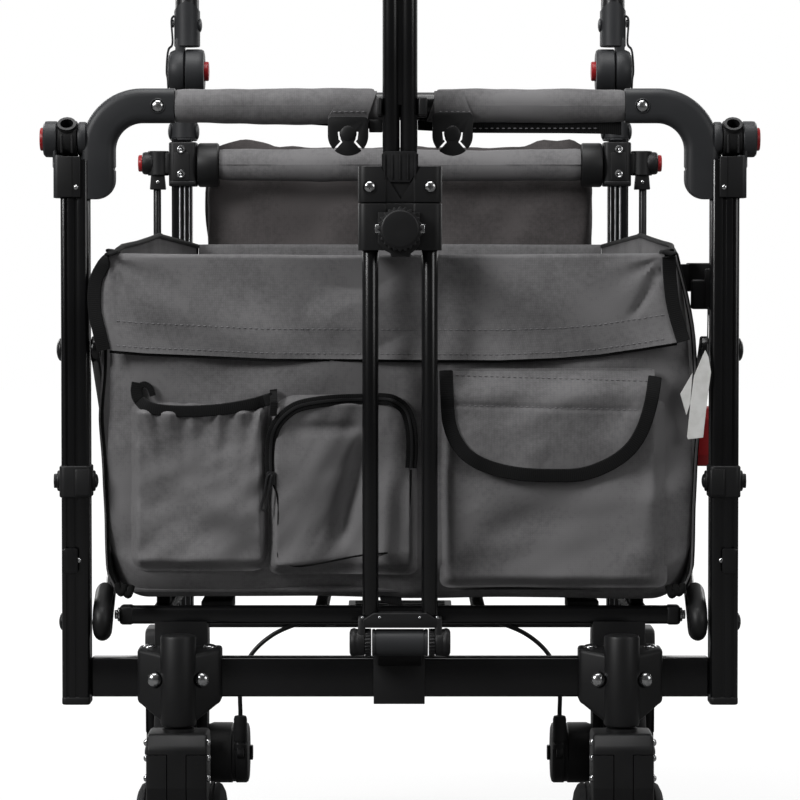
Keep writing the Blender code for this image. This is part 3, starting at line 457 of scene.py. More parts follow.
def ramp(tree, source, output, stops):
    node = addNode(tree, "ValToRGB", None, {"Fac": (source, output)})
    band = node.color_ramp
    while len(band.elements) < len(stops):
        band.elements.new(0.5)
    for element, (place, shade) in zip(band.elements, stops):
        element.position = place
        element.color = shade if hasattr(shade, "__len__") else (shade, shade, shade, 1)
    return node


def grey(value):
    return (value, value, value, 1)


def mottled(tree, shader, base, second, scale, low=0.35, high=0.65, detail=4.0, coordinates=None):
    # two close shades of one colour, laid in soft clouds
    cloud = addNode(tree, "TexNoise", {"[Scale]": scale, "[Detail]": detail}, {"Vector": coordinates})
    mix = ramp(tree, cloud, "Fac", [(low, colour(base)), (high, colour(second))])
    tree.links.new(mix.outputs["Color"], shader.inputs["Base Color"])
    return mix


def bumped(tree, shader, source, output, strength, depth):
    bump = addNode(tree, "Bump", {"[Strength]": strength, "[Distance]": depth * mm},
        {"Height": (source, output)})
    tree.links.new(bump.outputs["Normal"], shader.inputs["Normal"])
    return bump


def roughnessRange(tree, shader, coordinates, scale, low, high, detail=3.0):
    cloud = addNode(tree, "TexNoise", {"[Scale]": scale, "[Detail]": detail}, {"Vector": coordinates})
    spread = addNode(tree, "MapRange", {"[3]": low, "[4]": high}, {"Value": (cloud, "Fac")})
    tree.links.new(spread.outputs["Result"], shader.inputs["Roughness"])


# Powder-coated aluminium: near-black gloss with a faint orange peel
paintSizes = {"peel": 1.6, "cloud": 90}


def makePaint():
    material, tree, shader = newMaterial("glossPowderCoat", "#0c0c0d", 0.2, IOR=1.5)
    place = (addNode(tree, "TexCoord"), "Object")
    mottled(tree, shader, "#0a0a0b", "#0f0f10", 1000 / paintSizes["cloud"], coordinates=place)
    roughnessRange(tree, shader, place, 1000 / paintSizes["cloud"], 0.17, 0.3)
    peel = addNode(tree, "TexNoise", {"[Scale]": 1000 / paintSizes["peel"], "[Detail]": 1.0},
        {"Vector": place})
    bumped(tree, shader, peel, "Fac", 0.05, 0.2)
    return material


# Glass-filled nylon mouldings: fine spark-eroded grain, dull shine
def makeNylon(name, base, second, grain=0.9, roughness=(0.42, 0.56)):
    material, tree, shader = newMaterial(name, base, roughness[0], IOR=1.53, Specular_IOR_Level=0.35)
    place = (addNode(tree, "TexCoord"), "Object")
    mottled(tree, shader, base, second, 14, coordinates=place)
    roughnessRange(tree, shader, place, 40, *roughness)
    spark = addNode(tree, "TexVoronoi", {"[Scale]": 1000 / grain}, {"Vector": place})
    bumped(tree, shader, spark, "Distance", 0.18, 0.12)
    return material


# Zinc-plated steel of the rivets and screws: bright, slightly clouded
def makeZinc():
    material, tree, shader = newMaterial("zincPlatedSteel", "#c9cacb", 0.24, Metallic=1.0)
    place = (addNode(tree, "TexCoord"), "Object")
    mottled(tree, shader, "#b4b5b7", "#d8d8d8", 220, coordinates=place)
    roughnessRange(tree, shader, place, 300, 0.14, 0.34)
    return material


# Pale brushed metal of the thin rods in the rear posts' grooves: they stand in for the highlights along the
# grooves' rounded edges, a painted highlight; fine brushing along their length
def makePaintedHighlightMetal():
    material, tree, shader = newMaterial("grooveHighlightMetal", "#8c8d8f", 0.4, Metallic=1.0)
    place = (addNode(tree, "TexCoord"), "Object")
    mottled(tree, shader, "#828385", "#98999b", 160, coordinates=place)
    roughnessRange(tree, shader, place, 500, 0.34, 0.5)
    return material


# 600D polyester in a plain weave, its threads drawn about twice as coarse so that they show;
# the shade is a little heathered
weave = {"thread": 2.0, "heather": 5.0, "crease": 70}
bandsPerUnit = 0.314  # a wave texture of this scale repeats once in each unit


def makeCloth(name, base, second, thread=None, relief=0.12, sheen=0.06):
    material, tree, shader = newMaterial(name, base, 0.86, IOR=1.45, Specular_IOR_Level=0.2)
    shader.inputs["Sheen Weight"].default_value = sheen
    shader.inputs["Sheen Roughness"].default_value = 0.5
    pitch = 1000 / (thread or weave["thread"])
    flat = (addNode(tree, "UVMap", {"uv_map": "cloth"}), "UV")
    place = (addNode(tree, "TexCoord"), "Object")
    threads = []
    for direction in ("X", "Y"):
        threads.append(addNode(tree, "TexWave", {"wave_type": "BANDS", "bands_direction": direction,
            "[Scale]": pitch * bandsPerUnit, "[Distortion]": 0.6, "[Detail]": 1.0}, {"Vector": flat}))
    cross = addNode(tree, "Math", {"operation": "MULTIPLY"},
        {"0": (threads[0], "Fac"), "1": (threads[1], "Fac")})
    heather = addNode(tree, "TexNoise", {"[Scale]": 1000 / weave["heather"], "[Detail]": 6.0,
        "[Roughness]": 0.72}, {"Vector": place})
    cloud = addNode(tree, "TexNoise", {"[Scale]": 1000 / weave["crease"], "[Detail]": 3.0},
        {"Vector": place})
    blend = addNode(tree, "Math", {"operation": "MULTIPLY_ADD", "[1]": 0.8},
        {"0": (heather, "Fac"), "2": (cloud, "Fac")})
    fleck = addNode(tree, "Math", {"operation": "MULTIPLY_ADD", "[1]": 0.12},
        {"0": (cross, "Value"), "2": (blend, "Value")})
    shade = ramp(tree, fleck, "Value", [(0.62, colour(base)), (1.2, colour(second))])
    tree.links.new(shade.outputs["Color"], shader.inputs["Base Color"])
    bumped(tree, shader, cross, "Value", relief, 0.35)
    return material


# Polyester webbing and bias tape: dense black ribs
def makeTape():
    material, tree, shader = newMaterial("blackBiasTape", "#111112", 0.85, Specular_IOR_Level=0.15)
    shader.inputs["Sheen Weight"].default_value = 0.05
    flat = (addNode(tree, "UVMap", {"uv_map": "cloth"}), "UV")
    rib = addNode(tree, "TexWave", {"wave_type": "BANDS", "bands_direction": "X",
        "[Scale]": 1000 / 1.8 * bandsPerUnit}, {"Vector": flat})
    shade = ramp(tree, rib, "Fac", [(0.0, colour("#0a0a0a")), (1.0, colour("#171718"))])
    tree.links.new(shade.outputs["Color"], shader.inputs["Base Color"])
    bumped(tree, shader, rib, "Fac", 0.4, 0.3)
    return material


# Foamed rubber of the tyres: matt, dusty black
def makeRubber():
    material, tree, shader = newMaterial("tyreRubber", "#161617", 0.8, Specular_IOR_Level=0.25)
    place = (addNode(tree, "TexCoord"), "Object")
    mottled(tree, shader, "#121213", "#1f1f20", 60, coordinates=place)
    grit = addNode(tree, "TexNoise", {"[Scale]": 900, "[Detail]": 2.0}, {"Vector": place})
    bumped(tree, shader, grit, "Fac", 0.2, 0.2)
    return material


# Uncoated card of the hang tag
def makeCard():
    material, tree, shader = newMaterial("tagCard", "#d6d6d3", 0.7)
    place = (addNode(tree, "TexCoord"), "Object")
    mottled(tree, shader, "#cfcfcc", "#dcdcda", 120, coordinates=place)
    return material


paint = makePaint()
blackNylon = makeNylon("blackNylon", "#121213", "#171718")
greyNylon = makeNylon("darkGreyNylon", "#27282a", "#2e2f31")
# the fork cowls take a darker copy of the black nylon: painted shade that darkens their tops, where the
# overhead lamp would light them
paintedShadeNylon = makeNylon("blackNylonPaintedShade", "#0c0c0d", "#101011")
satinPaint = makeNylon("satinPowderCoat", "#121213", "#171718", grain=1.5, roughness=(0.3, 0.4))
redNylon = makeNylon("redNylon", "#8f1a1d", "#a32226", roughness=(0.3, 0.4))
zinc = makeZinc()
# Pale, lightly brushed metal of the rods in the rear posts' grooves: painted highlights of the grooves' edges
paintedHighlightMetal = makePaintedHighlightMetal()
# Black-passivated steel of nuts and washers
darkSteel = makeNylon("blackSteel", "#1b1b1c", "#242425", grain=3, roughness=(0.25, 0.36))
greyCloth = makeCloth("greyPolyester", "#5a595a", "#727172")
# the same cloth painted a shade darker for the side walls and the floor mat: painted shade inside the basket
innerClothPaintedShade = makeCloth("greyPolyesterInsidePaintedShade", "#525152", "#676667")
# the rear bag's cloth is the same cloth, slightly warmer in hue and painted darker: painted shade where the
# bag hangs under the bar
bagClothPaintedShade = makeCloth("greyPolyesterBagPaintedShade", "#474444", "#5b5757")
tape = makeTape()
# Polyester thread, a shade lighter than the cloth
threadCloth = makeNylon("greyThread", "#6b6a6c", "#7b7a7c", grain=1.2, roughness=(0.6, 0.75))
rubber = makeRubber()
card = makeCard()
# PVC sheath of the brake cables: smooth satin black
sheath = makeNylon("pvcSheath", "#0f0f10", "#151516", grain=2.5, roughness=(0.34, 0.44))
print("materials made")


# Studio: pale floor, white surroundings, soft lamps
studio = {
    "floorHalf": 14000,
    "ambient": 0.2,
    "glowNear": 0.84, "glowFar": 1.0,
    "lamps": [
        # (name, place in mm, size in mm, watts)
        ("overhead", (-200, -500, 2900), 2000, 50),
        ("frontLeft", (-2700, -2400, 2300), 1300, 88),
        ("frontRight", (2700, -2300, 1700), 1500, 20),
        ("backLeft", (-2200, 2600, 1900), 1300, 30),
        ("backRight", (2200, 2600, 1900), 1300, 24),
    ],
}


def setStudio():
    deselectAll()
    half = studio["floorHalf"]
    bpy.ops.mesh.primitive_grid_add(x_subdivisions=8, y_subdivisions=8, size=2 * half * mm,
        location=(0, 0, -0.2 * mm))
    floor = bpy.context.object
    bpy.ops.object.transform_apply(location=True, rotation=True, scale=True)
    floor.name = "floor"
    material, tree, shader = newMaterial("paleFloor", "#6e6e6e", 0.9)
    shader.inputs["Specular IOR Level"].default_value = 0.1
    output = tree.nodes["Material Output"]
    glow = addNode(tree, "Emission", {"[Color]": (1, 1, 1, 1)})
    ray = addNode(tree, "LightPath")
    place = addNode(tree, "TexCoord")
    away = addNode(tree, "VectorMath", {"operation": "LENGTH"}, {"0": (place, "Object")})
    level = addNode(tree, "MapRange", {"[1]": 0.9, "[2]": 2.6, "[3]": studio["glowNear"],
        "[4]": studio["glowFar"]}, {"Value": (away, "Value")})
    seen = addNode(tree, "Math", {"operation": "MULTIPLY"},
        {"0": (ray, "Is Camera Ray"), "1": (level, "Result")})
    tree.links.new(seen.outputs["Value"], glow.inputs["Strength"])
    both = addNode(tree, "AddShader", None, {"0": (shader, "BSDF"), "1": (glow, "Emission")})
    tree.links.new(both.outputs["Shader"], output.inputs["Surface"])
    floor.data.materials.append(material)

    world = bpy.data.worlds.new("studio")
    bpy.context.scene.world = world
    world.use_nodes = True
    tree = world.node_tree
    tree.nodes.clear()
    out = addNode(tree, "OutputWorld")
    ray = addNode(tree, "LightPath")
    way = addNode(tree, "TexCoord")
    split = addNode(tree, "SeparateXYZ", None, {"Vector": (way, "Generated")})
    behind = ramp(tree, split, "Y", [(0.0, grey(0.05)), (0.45, grey(0.35)), (0.9, grey(1.0))])
    ambient = addNode(tree, "Background", {"[Color]": (1, 1, 1, 1), "[Strength]": studio["ambient"]})
    mirrorSky = addNode(tree, "Background", {"[Strength]": 1.0}, {"Color": (behind, "Color")})
    white = addNode(tree, "Background", {"[Color]": (1, 1, 1, 1), "[Strength]": 1.0})
    sharp = addNode(tree, "Math", {"operation": "MAXIMUM"},
        {"0": (ray, "Is Glossy Ray"), "1": (ray, "Is Transmission Ray")})
    first = addNode(tree, "MixShader", None, {"Fac": (sharp, "Value"), "1": (ambient, "Background"),
        "2": (mirrorSky, "Background")})
    last = addNode(tree, "MixShader", None, {"Fac": (ray, "Is Camera Ray"), "1": (first, "Shader"),
        "2": (white, "Background")})
    tree.links.new(last.outputs["Shader"], out.inputs["Surface"])

    for name, place, size, watts in studio["lamps"]:
        lampData = bpy.data.lights.new(name, "AREA")
        lampData.shape = "DISK"
        lampData.size = size * mm
        lampData.energy = watts
        lamp = bpy.data.objects.new(name, lampData)
        lamp.location = Vector(place) * mm
        aim = Vector((0, 0, 500)) * mm - lamp.location
        lamp.rotation_euler = aim.to_track_quat("-Z", "Y").to_euler()
        lamp.visible_camera = False
        bpy.context.scene.collection.objects.link(lamp)
    bpy.context.scene.view_settings.view_transform = "Standard"


setStudio()
print("studio set")


# Front posts: grooved aluminium extrusions with a plug at the foot
frontPost = {"x": 294.5, "width": 25.5, "halfDepth": 15, "z": (268, 760), "corner": 4.2,
    "grooves": ((301.8, 2.4, 1.8), (293.2, 3.6, 1.2)), "collarZ": (454, 483),
    "stopZ": (386, 408), "boltZ": 468.5}


def makeFrontPost():
    p = frontPost
    inner, outer = p["x"] - p["width"] / 2, p["x"] + p["width"] / 2
    front, back = frontY - p["halfDepth"], frontY + p["halfDepth"]
    corner = p["corner"]
    outline = roundOutline(boxPoints((inner, outer), (front, back), corner))
    post = plate("z", outline, p["z"][0] + 4, p["z"][1])
    for x, width, depth in p["grooves"]:
        for face, way in ((front, 1), (back, -1)):
            cut(post, block((x - width / 2, x + width / 2),
                (face - way * 5, face + way * depth), (200, 800)))
    bevelled(post, 0.5, 2)
    plug = boxPoints((inner - 0.1, outer + 0.2), (front - 0.2, back + 0.2), corner)
    foot = slab("z", plug, 265.2, 272.6, 1.6, 3)
    doneBothSides(post, "front_post_%s_tube", paint, "front_frame", "frame_paint", "front_post_%s")
    doneBothSides(foot, "front_post_%s_foot", blackNylon, "front_frame", "black_plastic")

    # collar half way up: a moulded sleeve with a seam and a bolt through it
    low, high = p["collarZ"]
    sleeve = boxPoints((inner - 1.6, outer + 1.8), (front - 2, back + 2), 5.5)
    collar = slab("z", sleeve, low, high, 1.6, 3)
    tab = slab("z", [(inner - 1, front - 3.4, 2), (inner + 13, front - 3.4, 2), (inner + 13, front, 1),
        (inner - 1, front, 1)], low + 2, high - 3, 0.9, 2)
    step = rod("x", (frontY, p["boltZ"]), 9.5, outer + 1, outer + 4.6, 1)
    innerStep = rod("x", (frontY, p["boltZ"]), 9.5, inner - 4.4, inner - 1, 1)
    doneBothSides(joined(collar, tab, step, innerStep), "front_post_%s_collar", blackNylon,
        "front_frame", "black_plastic")
    nut = plate("x", [(frontY + a, p["boltZ"] + b) for a, b in arcPoints((0, 0), 7.4, 0, 300, 5)],
        outer + 4.4, outer + 7.6, 0.5)
    boltHead = dome("x", (frontY, p["boltZ"]), 6.4, inner - 4.2, inner - 7.2)
    doneBothSides(joined(nut, boltHead), "front_post_%s_bolt", darkSteel, "front_frame", "frame_paint")

    # stop plate with its little screw, and the caps of the two pivot pins
    low, high = p["stopZ"]
    stop = slab("y", boxPoints((292.2, 304.8), (low, high), 2), front - 3.4, front + 0.2, 0.7)
    lip = block((303.2, 306.6), (front - 2.4, front + 3), (low + 1, high - 1), 0.7)
    upperCap = dome("x", (frontY, highPivotZ), 10.5, outer - 0.4, outer + 5.0)
    lowerCap = dome("x", (frontY, lowPivotZ), 8.0, outer - 0.4, outer + 3.6)
    doneBothSides(joined(stop, lip, upperCap, lowerCap), "front_post_%s_stops", satinPaint,
        "front_frame", "frame_paint")
    screw = dome("y", (291.4, 397.0), 2.6, front + 0.4, front - 2.2)
    upper = dome("y", (292.6, 735.0), 2.4, front - 2.0, front - 4.0)
    doneBothSides(joined(screw, upper), "front_post_%s_screws", zinc, "front_frame", "frame_paint")


def makeFrontCrossTube():
    half = frontPost["x"] - frontPost["width"] / 2 - 0.4
    tube = block((-half, half), (frontY - 10, frontY + 10), (272, 308), 2.6, 4)
    done(tube, "front_cross_tube_rail", paint, "front_frame", "frame_paint", "front_cross_tube")


# Elbow hubs: moulded in one with the arm that carries the padded bar
hub = {"radius": 16.4, "lobeZ": 724.5, "lobeCorner": 19, "arm": (13.6, 15.6), "armX": 273.6, "barZ": 809,
    "bend": 40, "armEnd": 203.9, "rivet": (218.9, 808.4)}


def makeHubs():
    p = hub
    # the arm: a rounded oblong swept round the corner
    wide, tall = p["arm"]
    section = roundOutline(boxPoints((-tall, tall), (-wide, wide), 8), 4)
    corner = (p["armX"], frontY, p["barZ"])
    low = p["lobeZ"]
    near = p["armX"] - tall
    route = [(p["armX"], frontY, low)] + bend(corner, (p["armX"], frontY, 700),
        (0, frontY, p["barZ"]), p["bend"], 16)
    route.append((p["armEnd"], frontY, p["barZ"]))
    arm = curveTube(route, 0, profile=section)
    reach = p["lobeCorner"]
    waste = [(near - 3, low - 3), (near + reach, low - 3)] + arcPoints((near + reach, low + reach), reach,
        270, 180, 12)
    cut(arm, plate("y", waste + [(near - 3, low + reach)], frontY - 30, frontY + 30))
    bevelled(arm, 3.2, 3, 42)
    fuse(arm, rod("x", (frontY, hubZ), p["radius"] - 0.6, 284, 291.6, 1.6, 40))
    # cheek over the post's outer face, open in front, and the bridge behind the post
    cheek = slab("z", [(304.6, frontY - 17, 3), (313.4, frontY - 17, 5), (313.4, frontY + 18.6, 5),
        (285, frontY + 18.6, 3), (285, frontY + 15.4, 0), (308, frontY + 15.4, 0), (308, frontY - 12, 1),
        (304.6, frontY - 12, 1)], 725.5, 764, 1.2)
    outerBoss = turned("x", (frontY, hubZ), [(11.2, 318), (11.2, 322.4), (11.8, 322.9), (14.4, 322.9),
        (16.2, 321.2), (16.4, 319), (16.4, 311.4), (15.8, 310.6), (11.0, 310.6)], 40, closed=False)
    neck = block((309.6, 314.2), (frontY - 12.5, frontY + 12.5), (752, 776), 2)
    core = rod("x", (frontY, hubZ), 6.0, 284, 319, 0.5, 24)
    sleeve = block((288.6, 309.8), (frontY - 17.6, frontY - 15.2), (726, 763), 0.9)
    cut(sleeve, block((295.6, 296.2), (frontY - 20, frontY - 17.2), (700, 780)))
    doneBothSides(sleeve, "front_hub_%s_sleeve", blackNylon, "front_frame", "black_plastic")
    notch = rod("y", (near - 1.2, 752), 2.4, frontY - 30, frontY + 30, 0.2, 12)
    cut(arm, notch)
    body = joined(arm, cheek, outerBoss, neck, core)
    doneBothSides(body, "front_hub_%s_elbow", greyNylon, "front_frame", "grey_plastic",
        "front_hub_%s", angle=32)
    screw = dome("y", p["rivet"], 5.4, frontY - wide + 0.6, frontY - wide - 2.6)
    recess = turned("y", p["rivet"], [(5.8, frontY - wide - 0.4), (6.4, frontY - wide - 0.9),
        (7.0, frontY - wide - 0.4)], 32)
    doneBothSides(screw, "front_hub_%s_rivet", zinc, "front_frame", "frame_paint")
    doneBothSides(recess, "front_hub_%s_rivet_seat", greyNylon, "front_frame", "grey_plastic")

    # canopy socket: a ring that turns in the hub, with a barrel that takes the pole
    ring = turned("x", (frontY, hubZ), [(6.3, 292.4), (15.4, 292.4), (16.6, 293.4), (16.9, 296),
        (16.9, 306), (16.6, 308.6), (15.4, 309.6), (6.3, 309.6)], 40, closed=True)
    tilt = Vector((0, -1, 1)).normalized()
    centre = Vector((301, frontY, hubZ))
    barrel = curveTube([centre + tilt * 6, centre + tilt * 19.4], 8.6, 6)
    cut(fuse(ring, barrel), curveTube([centre + tilt * 9, centre + tilt * 32], 6.0, 6))
    rib = block((295.2, 297.2), (frontY - 17.6, frontY - 12), (hubZ - 13, hubZ + 4), 0.8)
    rib2 = block((304.6, 306.6), (frontY - 17.6, frontY - 12), (hubZ - 13, hubZ + 4), 0.8)
    bevelled(ring, 0.5, 2, 40)
    doneBothSides(joined(ring, rib, rib2), "canopy_socket_front_%s_ring", blackNylon,
        "canopy_socket_front_%s", "black_plastic", "canopy_socket_front_%s")

    button = turned("x", (frontY, hubZ), [(9.6, 320.2), (10.5, 320.4), (10.5, 325.2), (9.9, 326.1),
        (7, 326.3), (6.4, 325.8), (1, 325.7)], 36)
    doneBothSides(button, "hub_button_%s_cap", redNylon, "hub_button_%s", "red_plastic", "hub_button_%s")


# Wheels: a foam tyre with a shallow tread, and a moulded rim with six spokes between its boss and its web.
# Profiles hold (radius, share of the wheel's width); the tyre's is mirrored over its middle.
casterWheel = {
    "tyre": [(66.5, 0.1), (68, 0.02), (78, 0.0), (87, 0.06), (92.6, 0.17), (94.6, 0.3), (94.7, 0.36),
        (93.4, 0.38), (93.4, 0.42), (95, 0.44)],
    "rim": [(67, 0.12), (63, 0.12), (61, 0.3), (61, 0.7), (63, 0.9), (67, 0.9), (67.2, 0.5)],
    "boss": [(5.4, 0.1), (13, 0.1), (14, 0.2), (14, 0.8), (13, 0.94), (5.4, 0.94)],
    "web": [(12, 0.42), (62, 0.46), (62, 0.6), (12, 0.64)],
    "steps": {"tyre": 72, "rim": 72, "boss": 40, "web": 60},
    "spoke": {"width": (0.24, 0.82), "half": 4.5, "reach": (11, 63), "rounding": 1.6, "turn": 0},
}
rearWheelShape = {
    "tyre": [(75, 0.1), (77, 0.02), (88, 0.0), (96, 0.05), (101.6, 0.16), (103.4, 0.26), (103.6, 0.34),
        (102.2, 0.36), (102.2, 0.4), (103.9, 0.42)],
    "rim": [(75.4, 0.1), (71, 0.1), (68, 0.3), (68, 0.7), (71, 0.9), (75.4, 0.9), (75.6, 0.5)],
    "boss": [(6.5, 0.04), (20, 0.04), (24, 0.16), (24, 0.84), (20, 0.96), (6.5, 0.96)],
    "web": [(20, 0.42), (69, 0.45), (69, 0.58), (20, 0.62)],
    "steps": {"tyre": 80, "rim": 80, "boss": 44, "web": 64},
    "spoke": {"width": (0.2, 0.84), "half": 5.5, "reach": (20, 70), "rounding": 2, "turn": 30},
}


def wheelRing(shape, name, axle, start, end):
    profile = shape[name]
    if name == "tyre":
        profile = profile + [(radius, 1 - share) for radius, share in reversed(profile)]
    stations = [(radius, start + (end - start) * share) for radius, share in profile]
    return turned("x", axle, stations, shape["steps"][name], closed=True)


def wheelRim(shape, axle, start, end):
    s = shape["spoke"]
    parts = [wheelRing(shape, name, axle, start, end) for name in ("rim", "boss", "web")]
    width = sorted(start + (end - start) * share for share in s["width"])
    for step in range(6):
        spoke = block(width, (-s["half"], s["half"]), s["reach"], s["rounding"], 2)
        turn = Matrix.Rotation(math.radians(60 * step + s["turn"]), 4, "X")
        spoke.data.transform(Matrix.Translation(Vector((0, *axle)) * mm) @ turn)
        parts.append(spoke)
    return joined(*parts)


# Casters: a prowed clamp on the cross tube, a cowled fork and twin wheels
caster = {"x": casterX, "y": casterY, "trail": 45, "wheelRadius": 95, "wheel": (15, 41),
    "collarRadius": 16.2, "rivetX": 21.4, "rivetZ": 290.2}


def makeCasters():
    p = caster
    x = p["x"]
    # prow: seen from above a blunt arrow, seen from the front a shield
    prow = [(x - 38, frontY + 14), (x - 38, frontY - 17), (x - 34, frontY - 20), (x, frontY - 45),
        (x + 34, frontY - 20), (x + 38, frontY - 17), (x + 38, frontY + 14)]
    body = plate("z", prow, 244, 317)
    cut(body, plate("x", [(frontY - 70, 306), (frontY - 70, 330), (frontY - 6, 330), (frontY - 12, 317.2)],
        x - 60, x + 60))
    shield = [(x - 40, 330), (x - 40, 269), (x - 34, 266), (x - 12, 249.5), (x + 12, 249.5), (x + 34, 266),
        (x + 40, 269), (x + 40, 330)]
    boolean(body, [plate("y", shield, frontY - 60, frontY + 30)], "INTERSECT")
    bevelled(body, 3.0, 3, 20)
    collar = rod("z", (x, p["y"]), p["collarRadius"], 248, 331, 3.2, 40)
    fuse(body, collar)
    for way in (-1, 1):
        cut(body, rod("y", (x + way * p["rivetX"], p["rivetZ"]), 7.8, frontY - 60, frontY - 29.6, 0.3, 28))
    cut(body, block((x - 60, x + 60), (frontY - 10.4, frontY + 10.4), (271.6, 308.4)))
    saddle = slab("x", [(frontY + 10, 300, 1), (frontY + 30, 312, 4), (frontY + 30, 338, 2),
        (frontY + 26.9, 344.5, 0), (frontY + 10, 344.5, 2)], x - 24, x + 24, 1.2)
    cut(saddle, rod("x", (frontY + 18, 344.5), 9.9, x - 40, x + 40, 0.2, 32))
    bracket = joined(body, saddle)
    doneBothSides(bracket, "caster_bracket_%s_clamp", blackNylon, "front_frame", "black_plastic",
        "caster_bracket_%s", angle=28)
    heads = []
    for way in (-1, 1):
        heads.append(dome("y", (x + way * p["rivetX"], p["rivetZ"]), 6.6, frontY - 29.8, frontY - 35.4, 32))
        heads.append(dome("z", (x + way * 27, frontY - 6), 6.4, 316.4, 320.2))
    doneBothSides(joined(*heads), "caster_bracket_%s_rivets", zinc, "front_frame", "frame_paint")

    # fork: a cowl with two side covers and a centre strip, arms down to the axle
    y = p["y"]
    axleY = y + p["trail"]
    crown = slab("x", [(y - 29.5, 232, 9), (y - 31.5, 196, 4), (y - 27, 168, 6), (y - 14, 158, 6),
        (y + 6, 170, 8), (y + 31, 200, 6), (y + 31, 243.5, 8), (y - 20, 243.5, 8)],
        x - 27.4, x + 27.4, 3.4, 3)
    leg = slab("x", [(y - 22, 205, 4), (y - 20, 172, 10), (y + 24, 96, 12), (axleY - 12, 78, 10),
        (axleY + 12, 78, 10), (axleY + 20, 96, 8), (y + 58, 122, 10), (y + 31, 205, 4)],
        x - 13.6, x + 13.6, 2.4, 3)
    fuse(crown, leg)
    for way in (-1, 1):
        seam = block(sorted((x + way * 8.3, x + way * 9.1)), (y - 50, y - 24), (120, 226), 0)
        cross = block(sorted((x + way * 8.6, x + way * 40)), (y - 50, y - 26.5), (225.4, 226.2), 0)
        cut(crown, seam, cross)
    bevelled(crown, 0.35, 1, 50)
    neck = turned("z", (x, y), [(13, 243), (14.5, 243.6), (14.5, 246.4), (12.5, 247.2)], 36)
    fork = joined(crown, neck)
    # the cowl's darker nylon is painted shade over its lamp-lit top
    doneBothSides(fork, "caster_fork_%s_cowl", paintedShadeNylon, "caster_fork_%s", "black_plastic",
        "caster_fork_%s", angle=28)
    heads = []
    for way in (-1, 1):
        for level, depth in ((236, -20), (222, -20), (204, -22)):
            heads.append(dome("x", (y + depth, level), 3.4, x + way * 27.2, x + way * 30.2, 16))
    heads.append(rod("x", (axleY, p["wheelRadius"]), 5.0, x - 41.2, x + 41.2, 0.8, 24))
    for way in (-1, 1):
        heads.append(dome("x", (axleY, p["wheelRadius"]), 8.5, x + way * 40.4, x + way * 44.0, 24))
    stem = rod("z", (x, y), 6.0, 238, 249, 0.4, 24)
    doneBothSides(joined(*heads, stem), "caster_fork_%s_bolts", zinc, "caster_fork_%s", "frame_paint")

    # the inner and the outer wheel
    near, far = p["wheel"]
    axle = (axleY, p["wheelRadius"])
    for place, way in (("inner", -1), ("outer", 1)):
        inside, outside = x + way * near, x + way * far
        tyre = wheelRing(casterWheel, "tyre", axle, inside, outside)
        rim = wheelRim(casterWheel, axle, inside, outside)
        wheelBody = f"caster_wheel_%s_{place}"
        doneBothSides(tyre, f"caster_wheel_%s_{place}_tyre", rubber, wheelBody, "tyre", wheelBody, angle=30)
        doneBothSides(rim, f"caster_wheel_%s_{place}_rim", blackNylon, wheelBody, "black_plastic", angle=30)


makeFrontPost()
makeFrontCrossTube()
print("front posts made")
makeHubs()
print("hubs made")
makeCasters()
print("casters made")


# Soft goods: grids bent point by point, then given their thickness
def thicken(piece, thickness):
    solid = piece.modifiers.new("thickness", "SOLIDIFY")
    solid.thickness = thickness * mm
    solid.offset = -1
    applyAll(piece)


def closeSeam(piece):
    # joins a rolled-up sheet where its edges meet
    edit(piece)
    bpy.ops.mesh.remove_doubles(threshold=weldGap["cloth"])
    bpy.ops.object.mode_set(mode="OBJECT")


def clothGrid(columns, rows, place, size, thickness=1.4):
    # place(u, v) gives millimetres; the UV map holds metres along and up the cloth
    deselectAll()
    bpy.ops.mesh.primitive_grid_add(x_subdivisions=columns, y_subdivisions=rows, size=1, calc_uvs=True)
    piece = bpy.context.object
    flat = piece.data.uv_layers[0]
    flat.name = "cloth"
    for corner in flat.data:
        corner.uv = (corner.uv[0] * size[0] * mm, corner.uv[1] * size[1] * mm)
    for vertex in piece.data.vertices:
        vertex.co = Vector(place(vertex.co.x + 0.5, vertex.co.y + 0.5)) * mm
    if thickness:
        thicken(piece, thickness)
    return piece


def ribbon(points, outline, normal=(0, -1, 0)):
    # a strip with a closed section, swept along the points; outline holds (across, towards the normal)
    count = len(points)
    deselectAll()
    bpy.ops.mesh.primitive_grid_add(x_subdivisions=len(outline),
        y_subdivisions=count - 1, size=1, calc_uvs=True)
    piece = bpy.context.object
    flat = piece.data.uv_layers[0]
    flat.name = "cloth"
    line = [Vector(point) for point in points]
    run = [0.0]
    for last, here in zip(line, line[1:]):
        run.append(run[-1] + (here - last).length)
    girth = sum((Vector(a) - Vector(b)).length for a, b in zip(outline, outline[1:] + outline[:1]))
    for corner in flat.data:
        corner.uv = (run[min(count - 1, round(corner.uv[1] * (count - 1)))] * mm, corner.uv[0] * girth * mm)
    for vertex in piece.data.vertices:
        place = round((vertex.co.y + 0.5) * (count - 1))
        across, out = outline[round((vertex.co.x + 0.5) * len(outline)) % len(outline)]
        way = (line[min(place + 1, count - 1)] - line[max(place - 1, 0)]).normalized()
        face = Vector(normal(line[place]) if callable(normal) else normal)
        face = (face - way * face.dot(way)).normalized()
        vertex.co = (line[place] + way.cross(face) * across + face * out) * mm
    edit(piece)
    bpy.ops.mesh.remove_doubles(threshold=weldGap["ribbon"])
    bpy.ops.mesh.select_all(action="DESELECT")
    bpy.ops.mesh.select_non_manifold()
    bpy.ops.mesh.edge_face_add()
    bpy.ops.object.mode_set(mode="OBJECT")
    outward(piece)
    return piece


